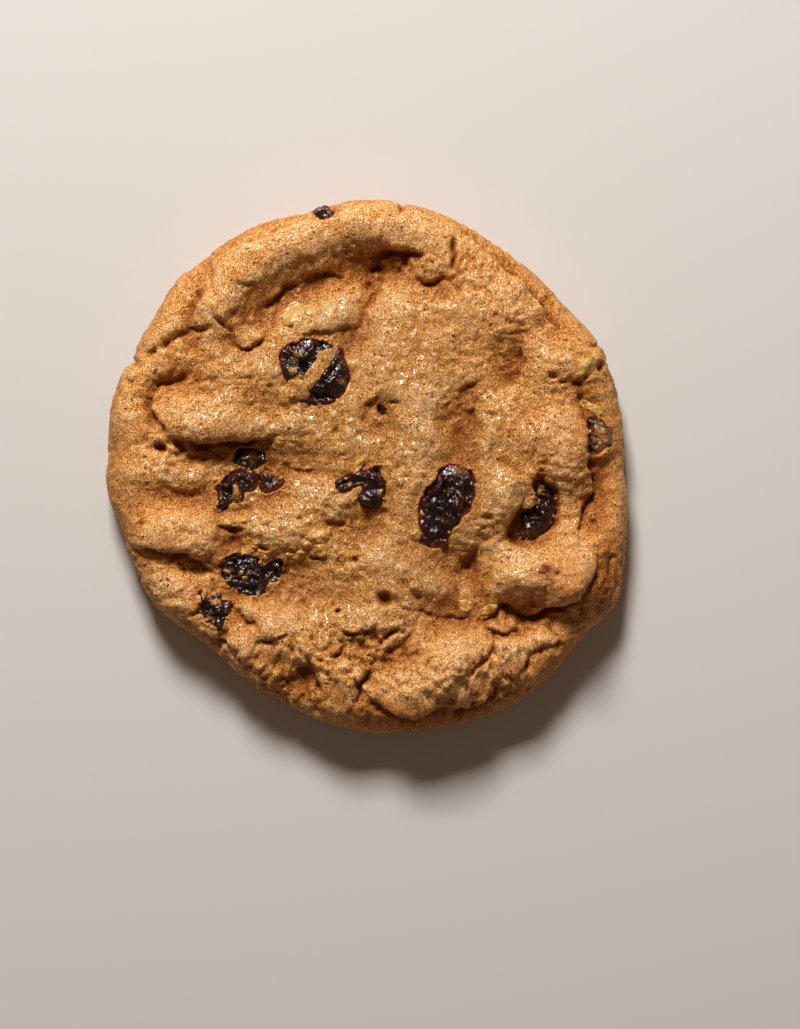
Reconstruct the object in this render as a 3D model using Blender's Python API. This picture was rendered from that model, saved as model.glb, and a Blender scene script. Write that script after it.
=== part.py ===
"""A thick, soft-baked raisin cookie, lying flat.

One piece of dough, flat underneath, with a folded and knobbly top, and the raisins that sit in
pockets in it. Metres, +Z up. The origin is under the middle of the footprint, on the flat base.
"""

import math

import bmesh
import bpy
import numpy as np
from mathutils import Matrix

MM = 0.001

# The baked dough, in millimetres.
CROWN = 11.6  # height of the smooth top before the lumps and folds
RIM_DROP = 0.9  # how much lower that top is at the shoulder than in the middle
SHOULDER = 6.6  # width of the rounded band between the top and the widest line
WAIST = 3.2  # height of the widest line above the base
TUCK = 1.7  # how far the base edge lies inside the widest line
SQUARE = 0.8  # below 1, the shoulder is fuller than a quarter of an ellipse
EDGE_LUMPS = 0.4  # how much of the lumps' height shows as bulges in the footprint's edge
TOP_CELLS = 50  # cells across the top of the mesh, each about 1.7 mm

# The footprint's edge, anticlockwise from the right. The baked edge is a little lopsided.
EDGE = (
    (41.0, 0.0), (41.0, 6.0), (39.7, 13.0), (37.0, 20.0), (32.0, 25.3), (26.0, 31.7),
    (20.0, 35.8), (12.8, 39.9), (6.4, 41.2), (2.3, 42.0), (-4.0, 41.7), (-8.0, 40.6),
    (-9.3, 39.6), (-14.0, 39.4), (-20.0, 36.8), (-26.2, 32.1), (-29.4, 30.0), (-32.8, 24.0),
    (-36.6, 17.5), (-39.5, 12.0), (-40.6, 5.0), (-40.2, 1.5), (-41.1, -1.9), (-40.0, -6.0),
    (-37.6, -10.9), (-36.9, -14.0), (-34.5, -19.0), (-30.0, -24.0), (-24.0, -28.3),
    (-20.0, -32.0), (-12.0, -37.3), (-4.0, -40.6), (1.0, -42.0), (8.0, -42.1), (14.0, -41.3),
    (21.5, -38.6), (28.0, -34.5), (34.3, -27.0), (40.0, -21.5), (41.1, -14.0),
)  # fmt: skip

# Lumps and hollows: centre x, y, half length, half width, turn in degrees, height.
LUMPS = (
    # upper left
    (-21.9, 23.5, 4.2, 3.4, 20, 1.5),
    (-21.9, 15.5, 3.6, 3.0, 0, 1.0),
    (-14.4, 17.0, 3.4, 3.0, 0, 0.7),
    (-7.9, 23.6, 5.5, 2.8, 8, 1.2),
    (3.0, 31.6, 4.0, 3.0, 0, -1.3),
    (-27.9, 13.4, 2.6, 1.9, 0, -1.0),
    (-15.5, 9.6, 2.6, 2.2, 0, -0.8),
    # left
    (-27.9, 7.2, 6.0, 3.6, -6, 2.1),
    (-20.4, 7.0, 5.0, 3.2, 10, 1.0),
    (-32.9, -0.6, 3.6, 2.8, 20, 1.3),
    (-29.9, -10.4, 6.0, 3.4, 8, 2.1),
    (-20.7, -12.0, 2.4, 2.0, 0, -1.4),
    (-29.9, -21.0, 5.6, 3.4, -38, 1.4),
    (-17.5, -17.8, 4.8, 3.2, -20, -1.2),
    # middle
    (-10.9, -10.8, 6.0, 3.0, -5, 1.3),
    (-7.9, -19.5, 4.2, 2.2, 0, -0.9),
    (-9.9, -15.2, 3.6, 1.7, 10, -1.4),
    (21.9, -5.2, 4.8, 4.4, 0, 2.0),
    (2.4, 7.8, 1.8, 1.5, 0, -1.6),
    (22.7, 15.0, 2.2, 3.6, -10, -1.6),
    (25.1, 4.5, 2.4, 2.2, 0, 0.9),
    # right
    (20.6, 25.0, 5.4, 4.8, 0, 1.5),
    (32.1, 16.5, 4.2, 3.2, 0, 1.5),
    (31.1, 3.0, 5.2, 4.6, 0, 2.1),
    (26.7, -8.2, 3.0, 5.0, -8, -3.0),
    (34.2, -6.4, 2.4, 4.0, 0, -1.9),
    (27.1, -18.4, 8.4, 4.2, 6, 1.4),
    (33.1, -18.8, 3.2, 2.8, 0, 1.8),
    # bottom
    (13.3, -22.8, 3.8, 2.2, 10, -2.2),
    (14.8, -15.8, 4.0, 2.6, -30, -2.8),
    (14.5, -30.4, 5.0, 3.4, 48, 2.0),
    (23.5, -31.0, 3.2, 2.8, 0, 1.2),
    (-0.9, -24.6, 5.4, 2.6, 8, 1.3),
    (-7.9, -30.0, 3.8, 3.2, 0, 1.5),
    (-2.9, -34.0, 4.0, 3.2, 0, 0.5),
    (-14.5, -25.2, 4.0, 2.8, 0, 1.6),
    (-5.9, -38.0, 3.4, 2.2, 0, 1.2),
    (-9.1, -33.2, 2.3, 2.0, 0, -2.1),
    (-17.9, -29.4, 3.6, 2.8, -35, 1.2),
)

# Long folds and valleys: half width, height, then the points of the line that each follows.
FOLDS = (
    # the thick fold inside the upper rim, and the valley behind it
    (3.7, 2.7, (-28.9, 21.5), (-23.9, 27.0), (-17.9, 31.0), (-11.9, 34.0), (-5.9, 36.4),
     (0.1, 37.8), (7.1, 37.4), (15.1, 33.0)),
    (3.6, -2.7, (-19.9, 19.0), (-14.9, 25.0), (-8.9, 28.8), (-1.9, 31.6), (9.1, 33.0)),
    (2.0, -2.0, (-3.4, 16.0), (-0.7, 21.0), (1.1, 25.0), (2.1, 31.0)),
    (1.8, -1.2, (3.1, 29.5), (9.1, 28.2), (16.1, 28.0)),
    # the left rim
    (2.6, 1.0, (-27.9, 27.0), (-30.9, 22.0), (-32.9, 16.0)),
    (1.6, -1.7, (-23.9, 30.0), (-26.1, 25.0), (-27.3, 17.0)),
    (1.7, 1.0, (-28.9, 16.0), (-35.5, 14.0), (-37.1, 9.0), (-35.9, 2.6)),
    (1.2, -1.6, (-26.9, 13.0), (-32.3, 12.2), (-33.7, 9.0), (-32.5, 4.6)),
    (1.7, -1.1, (-33.9, -4.0), (-28.9, -5.4), (-22.4, -5.0)),
    (1.4, -1.5, (-36.9, -13.6), (-30.9, -14.8), (-26.5, -15.4), (-21.9, -20.0)),
    (1.5, -1.2, (-22.4, -22.5), (-18.4, -24.6), (-14.4, -28.4)),
    # the hollow of the left raisins, and the middle
    (3.4, -2.6, (-24.9, -5.5), (-17.9, -2.8), (-10.9, -0.6), (-5.9, -1.0)),
    (2.6, -1.7, (-6.4, -10.6), (-0.9, -10.0), (4.1, -7.0)),
    (3.4, 1.6, (4.6, 17.0), (8.1, 10.0), (9.3, 3.0), (7.7, -4.0), (8.1, -14.0)),
    (2.4, -1.3, (14.6, 10.5), (16.1, 6.0), (16.1, -1.0)),
    (1.6, 1.1, (22.1, 11.5), (20.5, 7.0), (19.5, 1.0)),
    (1.4, -0.9, (14.1, 8.0), (17.7, 12.4)),
    (1.6, 0.9, (-11.3, 9.5), (-11.3, 0.5)),
    (1.3, -2.0, (-32.4, 1.6), (-25.9, 2.0), (-18.9, 2.4), (-11.9, 3.6)),
    (2.2, 0.7, (-1.9, -12.0), (4.1, -16.5), (10.1, -21.0)),
    # the right rim, where the top overhangs the outer band
    (1.4, -0.9, (21.1, 32.0), (26.6, 25.5), (33.1, 17.5)),
    (1.6, -2.1, (31.6, 14.6), (35.5, 8.0), (37.3, 0.0), (37.1, -10.0)),
    (1.4, -1.2, (37.4, -10.0), (38.0, -17.0), (35.8, -23.4)),
    # the lower right folds
    (2.2, 2.3, (18.6, -16.4), (25.1, -16.6), (32.1, -13.4)),
    (2.0, 1.5, (33.5, -9.0), (34.5, -15.0), (33.1, -21.0)),
    (1.8, -1.7, (13.6, -23.5), (17.6, -17.0), (21.6, -11.5)),
    (1.9, -2.5, (13.1, -24.4), (21.1, -22.8), (28.1, -23.0), (33.6, -22.6)),
    (3.8, 2.2, (1.1, -38.0), (8.1, -35.0), (18.1, -29.4)),
    (1.2, -0.8, (11.1, -26.0), (5.1, -29.8), (-0.9, -34.6)),
    (1.9, -1.3, (-3.9, -37.6), (5.1, -41.0), (14.1, -40.4), (21.6, -35.6)),
)  # fmt: skip

# The raisins, in millimetres: middle x and y, how high the top stands, long, wide and thick
# sizes, turn in degrees, and how far the ends bend towards one side.
RAISINS = {
    "raisin_upper": (-8.0, 15.2, 12.0, 11.6, 9.6, 4.6, 20, 0.4),
    "raisin_left": (-20.5, -3.7, 10.3, 7.8, 6.2, 4.2, 8, -1.2),
    "raisin_left_tucked": (-18.6, 1.3, 10.0, 5.6, 3.6, 3.4, 12, 0.0),
    "raisin_left_small": (-14.9, -2.6, 9.8, 4.2, 3.4, 2.8, 10, 0.0),
    "raisin_middle": (-0.6, -3.1, 12.0, 9.0, 5.4, 4.2, -32, -0.8),
    "raisin_large": (12.7, -5.6, 12.3, 13.4, 8.6, 4.6, 68, 0.3),
    "raisin_in_hole": (26.9, -6.9, 9.9, 10.0, 6.0, 4.6, 78, 0.5),
    "raisin_right_edge": (36.3, 4.4, 10.1, 6.8, 4.8, 4.0, 88, 0.0),
    "raisin_lower_left": (-17.6, -16.5, 10.4, 10.2, 6.8, 4.2, -12, 0.4),
    "raisin_star": (-23.6, -22.7, 10.9, 6.8, 6.0, 3.8, -30, 0.0),
    "raisin_top_edge": (-6.3, 39.2, 10.2, 5.2, 3.6, 3.4, 14, 0.0),
    "raisin_peeking": (2.4, 8.4, 10.8, 2.8, 2.4, 2.4, 60, 0.0),
}  # fmt: skip
CLEARANCE = 0.42  # room round each raisin, so that it never touches the dough
DENT = 0.8  # depth of the shallow dent that each raisin lies in
DENT_REACH = 1.1  # the dent's size, as a share of the raisin's
RAISIN_RINGS = 8
RAISIN_SIDES = 12
WRINKLE = 0.09  # depth of the folds in a raisin's skin, as a share of its size

# Dough never follows a ruler: lines wander by this much, over about this length.
WANDER = 0.25
WANDER_LENGTH = 8.0
UNEVEN = 0.14  # height of the small swells all over the top
UNEVEN_LENGTH = 7.5


def edge_radius(angle):
    """Distance from the middle to the footprint's edge, by angle: the edge points, smoothed."""
    corners = np.array(EDGE)
    fine = np.linspace(-math.pi, math.pi, 720, endpoint=False)
    turns = np.arctan2(corners[:, 1], corners[:, 0])
    radius = np.interp(fine, turns, np.hypot(corners[:, 0], corners[:, 1]), period=2 * math.pi)
    window = np.hanning(13)
    window /= window.sum()
    padded = np.concatenate((radius[-6:], radius, radius[:6]))
    smooth = np.convolve(padded, window, mode="valid")
    return np.interp(angle, fine, smooth, period=2 * math.pi)


def bump(distance):
    """A rounded hill: 1 in the middle, a half at distance 1, and 0 far out."""
    return np.exp(-math.log(2.0) * distance**2.3)


def line_place(x, y, points):
    """For each place in the plan, its distance to a line, and how far along the line it is."""
    nearest = np.full(np.shape(x), np.inf)
    place = np.zeros(np.shape(x))
    lengths = [math.dist(a, b) for a, b in zip(points, points[1:])]
    done = 0.0
    for (ax, ay), (bx, by), length in zip(points, points[1:], lengths):
        along = ((x - ax) * (bx - ax) + (y - ay) * (by - ay)) / length**2
        along = np.clip(along, 0.0, 1.0)
        gap = np.hypot(x - ax - along * (bx - ax), y - ay - along * (by - ay))
        closer = gap < nearest
        nearest = np.where(closer, gap, nearest)
        place = np.where(closer, (done + along * length) / sum(lengths), place)
        done += length
    return nearest, place


def swell(x, y, length, phase):
    """Soft, irregular waves between about -1 and 1, from a few crossing sine waves."""
    total = np.zeros(np.shape(x))
    for step in range(5):
        heading = phase + 2.4 * step
        stretch = length * (0.75 + 0.13 * step)
        travel = x * math.cos(heading) + y * math.sin(heading)
        total += np.sin(2 * math.pi * travel / stretch + 1.7 * step + phase)
    return total / 3.0


def hill(x, y, cx, cy, long, wide, turn):
    """A rounded oval hill, by its middle, its half sizes and its turn in degrees."""
    c, s = math.cos(math.radians(turn)), math.sin(math.radians(turn))
    across = ((x - cx) * c + (y - cy) * s) / long
    down = ((y - cy) * c - (x - cx) * s) / wide
    return bump(np.hypot(across, down))


def relief(x, y):
    """How far the lumps, folds and dents lift the dough at a place in the plan."""
    lift = UNEVEN * swell(x, y, UNEVEN_LENGTH, 2.0)
    for cx, cy, _top, long, wide, _thick, turn, _bend in RAISINS.values():
        reach = 0.5 * DENT_REACH
        lift -= DENT * hill(x, y, cx, cy, long * reach, wide * reach, turn)
    x, y = (
        x + WANDER * swell(x, y, WANDER_LENGTH, 0.3),
        y + WANDER * swell(x, y, WANDER_LENGTH, 1.1),
    )
    for cx, cy, long, wide, turn, height in LUMPS:
        lift += height * hill(x, y, cx, cy, long, wide, turn)
    for wide, height, *points in FOLDS:
        gap, place = line_place(x, y, points)
        taper = np.sqrt(np.sin(math.pi * np.clip(place, 0.02, 0.98)))
        lift += height * taper * bump(gap / wide)
    return lift


def dough_surface(u, v):
    """The dough's top and side, from a unit disc: the disc's rim is the edge of the flat base."""
    across = np.hypot(u, v)
    angle = np.arctan2(v, u)
    edge = edge_radius(angle)
    inner = edge - SHOULDER
    shoulder_height = CROWN - RIM_DROP
    # Share the disc's radius between the top, the shoulder's arc and the tuck, by their lengths.
    arc = 0.5 * math.pi * math.hypot(SHOULDER, shoulder_height - WAIST) / math.sqrt(2.0)
    tuck = math.hypot(TUCK, WAIST)
    length = np.mean(inner) + arc + tuck
    top_share, arc_share = np.mean(inner) / length, arc / length
    turn = np.clip((across - top_share) / arc_share, 0.0, 1.0) * 0.5 * math.pi
    under = np.clip((across - top_share - arc_share) / (1.0 - top_share - arc_share), 0.0, 1.0)
    on_top = np.clip(across / top_share, 0.0, 1.0)
    radius = inner * on_top + SHOULDER * np.sin(turn) ** SQUARE - TUCK * under**2
    fall = 1.0 - np.abs(np.cos(turn)) ** SQUARE
    height = CROWN - RIM_DROP * on_top**2 - (shoulder_height - WAIST) * fall
    height -= WAIST * under
    x, y = radius * np.cos(angle), radius * np.sin(angle)
    lift = relief(x, y) * np.clip(height / WAIST, 0.0, 1.0)
    out = EDGE_LUMPS * lift * np.sin(turn)
    return (
        x + out * np.cos(angle),
        y + out * np.sin(angle),
        np.maximum(height + lift * np.cos(turn), 0.0),
    )


def square_to_disc(a, b):
    """Spread the cells of a square evenly over a unit disc."""
    wide = np.abs(a) > np.abs(b)
    radius = np.where(wide, a, b)
    safe_a = np.where(wide, a, 1.0)
    safe_b = np.where(wide | (b == 0.0), 1.0, b)
    angle = np.where(wide, 0.25 * math.pi * b / safe_a, 0.5 * math.pi - 0.25 * math.pi * a / safe_b)
    return radius * np.cos(angle), radius * np.sin(angle)


def make_dough(collection, material):
    bm = bmesh.new()
    bmesh.ops.create_grid(bm, x_segments=TOP_CELLS, y_segments=TOP_CELLS, size=1.0)
    flat = np.array([vert.co for vert in bm.verts])
    u, v = square_to_disc(flat[:, 0], flat[:, 1])
    x, y, z = dough_surface(u, v)
    for vert, place in zip(bm.verts, np.column_stack((x, y, z))):
        vert.co = place * MM
    base_edge = [edge for edge in bm.edges if edge.is_boundary]
    for edge in base_edge:
        for vert in edge.verts:
            vert.co.z = 0.0
    above = [vert for vert in bm.verts if vert.co.z > WAIST * MM]
    bmesh.ops.smooth_vert(bm, verts=above, factor=0.4, use_axis_x=True, use_axis_y=True,
                          use_axis_z=True)
    bmesh.ops.holes_fill(bm, edges=base_edge, sides=0)
    bmesh.ops.triangulate(bm, faces=[face for face in bm.faces if len(face.verts) == 4])
    bmesh.ops.recalc_face_normals(bm, faces=bm.faces)
    return finish("dough", bm, collection, material)


def finish(name, bm, collection, material):
    mesh = bpy.data.meshes.new(name)
    bm.to_mesh(mesh)
    bm.free()
    mesh.materials.append(material)
    mesh.shade_smooth()
    piece = bpy.data.objects.new(name, mesh)
    collection.objects.link(piece)
    return piece


def make_raisin(name, sizes, grow, collection, material):
    """A wrinkled, bent, flattened ball. The folds run along it from end to end."""
    x, y, top, long, wide, thick, turn, bend = sizes
    bm = bmesh.new()
    rings = RAISIN_RINGS if long > 5.0 else RAISIN_RINGS - 3
    sides = RAISIN_SIDES if long > 5.0 else RAISIN_SIDES - 4
    along_x = Matrix.Rotation(0.5 * math.pi, 4, "Y")
    bmesh.ops.create_uvsphere(bm, u_segments=sides, v_segments=rings, radius=1.0, matrix=along_x)
    half = [0.5 * size + grow for size in (long, wide, thick)]
    phase = 0.7 * x + 0.4 * y
    for vert in bm.verts:
        a, b, c = vert.co
        round_it = math.atan2(c, b)
        middle = 1.0 - a * a
        fold = math.sin(3.0 * round_it + phase + 1.3 * a) + 0.6 * math.sin(5.0 * round_it - 2.0 * a)
        full = 1.0 + WRINKLE * middle * fold
        vert.co = (
            half[0] * a * (1.0 + 0.06 * math.sin(2.0 * round_it + phase)),
            half[1] * b * full + bend * a * a,
            half[2] * c * full,
        )
    bmesh.ops.rotate(bm, verts=bm.verts, matrix=Matrix.Rotation(math.radians(turn), 3, "Z"))
    bmesh.ops.translate(bm, verts=bm.verts, vec=(x, y, top - 0.5 * thick))
    bmesh.ops.scale(bm, verts=bm.verts, vec=(MM, MM, MM))
    bmesh.ops.recalc_face_normals(bm, faces=bm.faces)
    return finish(name, bm, collection, material)


def press_into(dough, pocket):
    """Cut a raisin's pocket out of the dough."""
    cut = dough.modifiers.new(pocket.name, "BOOLEAN")
    cut.operation = "DIFFERENCE"
    cut.solver = "EXACT"
    cut.object = pocket
    pocket.hide_render = True
    pocket.display_type = "WIRE"


def centre_footprint(pieces, cutters):
    """Move everything so that the footprint's box is centred on the origin."""
    corners = np.array([corner for piece in pieces for corner in piece.bound_box])
    middle = 0.5 * (corners.min(axis=0) + corners.max(axis=0))
    for piece in [*pieces, *cutters]:
        piece.location = (-middle[0], -middle[1], 0.0)


def make_material(name, colour, roughness):
    material = bpy.data.materials.new(name)
    material.use_nodes = True
    shader = material.node_tree.nodes["Principled BSDF"]
    shader.inputs["Base Color"].default_value = (*colour, 1.0)
    shader.inputs["Roughness"].default_value = roughness
    shader.inputs["Metallic"].default_value = 0.0
    return material


def make_collection(name):
    collection = bpy.data.collections.new(name)
    bpy.context.scene.collection.children.link(collection)
    return collection


for old in list(bpy.data.objects):
    bpy.data.objects.remove(old, do_unlink=True)

cookie = make_collection("raisin_cookie")
cutters = make_collection("cutters")
baked_dough = make_material("baked_dough", (0.62, 0.36, 0.16), 0.75)
raisin_skin = make_material("raisin_skin", (0.05, 0.018, 0.015), 0.4)

dough = make_dough(cookie, baked_dough)
for name, sizes in RAISINS.items():
    make_raisin(name, sizes, 0.0, cookie, raisin_skin)
    press_into(dough, make_raisin("pocket_" + name, sizes, CLEARANCE, cutters, raisin_skin))
centre_footprint(list(cookie.objects), list(cutters.objects))
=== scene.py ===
"""A thick, soft-baked raisin cookie, lying flat: the finished model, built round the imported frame.

The dough takes its shape from the frame's dough and adds the folds, cracks, pits and grain of a
baked crust. The raisins take their places and sizes from the frame's raisins. Fruit bits and
crumbs are added. Metres, +Z up, with the origin under the middle of the footprint.
"""

import math
import random

import bmesh
import bpy
import numpy as np
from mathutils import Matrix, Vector, noise
from mathutils.bvhtree import BVHTree


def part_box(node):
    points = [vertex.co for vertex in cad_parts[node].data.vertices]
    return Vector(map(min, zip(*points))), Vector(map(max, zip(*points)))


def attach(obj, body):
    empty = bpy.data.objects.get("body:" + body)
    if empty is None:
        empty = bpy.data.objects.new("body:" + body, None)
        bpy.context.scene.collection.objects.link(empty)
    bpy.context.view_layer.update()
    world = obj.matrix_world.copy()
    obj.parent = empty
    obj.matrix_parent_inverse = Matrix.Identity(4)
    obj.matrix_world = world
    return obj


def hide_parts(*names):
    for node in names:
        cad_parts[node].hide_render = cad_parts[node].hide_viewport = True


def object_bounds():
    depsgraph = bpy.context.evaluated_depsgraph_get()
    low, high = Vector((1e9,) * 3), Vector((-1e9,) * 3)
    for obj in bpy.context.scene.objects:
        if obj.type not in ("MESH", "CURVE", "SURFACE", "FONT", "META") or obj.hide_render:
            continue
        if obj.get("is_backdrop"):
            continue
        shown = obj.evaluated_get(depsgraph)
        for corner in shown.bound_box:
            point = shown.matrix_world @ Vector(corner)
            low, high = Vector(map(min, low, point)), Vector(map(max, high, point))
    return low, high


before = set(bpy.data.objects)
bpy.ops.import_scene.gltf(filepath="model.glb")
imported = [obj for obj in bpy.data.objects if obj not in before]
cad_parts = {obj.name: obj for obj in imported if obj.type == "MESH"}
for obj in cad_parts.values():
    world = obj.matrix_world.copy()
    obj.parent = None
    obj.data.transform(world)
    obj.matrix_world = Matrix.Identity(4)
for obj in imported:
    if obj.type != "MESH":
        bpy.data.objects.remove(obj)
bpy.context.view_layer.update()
MM = 0.001

# ---- The dough -----------------------------------------------------------------------------
# One ball of soft brown-sugar dough that slumped in the oven into a thick round. Its base is
# flat and browned by the tray. Its top dried first, then folded, cracked and sank into lumps.

CELLS = 294  # cells across the sheet that becomes the top and side, each about 0.3 mm
BASE_CELLS = 60  # cells across the underside
TOP_SHARE, SIDE_SHARE = 0.80, 0.15  # shares of the sheet for the top and the rounded side
CROWN = 11.6 * MM  # height of the smooth bun that the lumps and folds rise from
RIM_DROP = 0.9 * MM  # how much lower the bun's top is at its rim
SHOULDER = 6.6 * MM  # how far in from the edge the side starts to round over
WAIST = 3.2 * MM  # height of the widest line
TUCK = 1.7 * MM  # how far the side draws in from the waist down to the tray
FULLNESS = 0.8  # below 1, the side bulges more than a quarter circle
LIFT_GAIN = 1.25  # the frame's folds are a little softer than baked ones
POCKET_WALL = 0.60 * MM  # dough this near to a raisin is the wall of the raisin's pocket
POCKET_DEPTH = 2.4 * MM
POCKET_LIP = 0.15 * MM
# How far the mouths, creases and toasted edges wander, and over what length. Millimetres.
MOUTH_SWAY, CREASE_SWAY, TOAST_SWAY = (0.38, 1.3), (0.35, 1.8), (0.5, 0.8)

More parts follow.
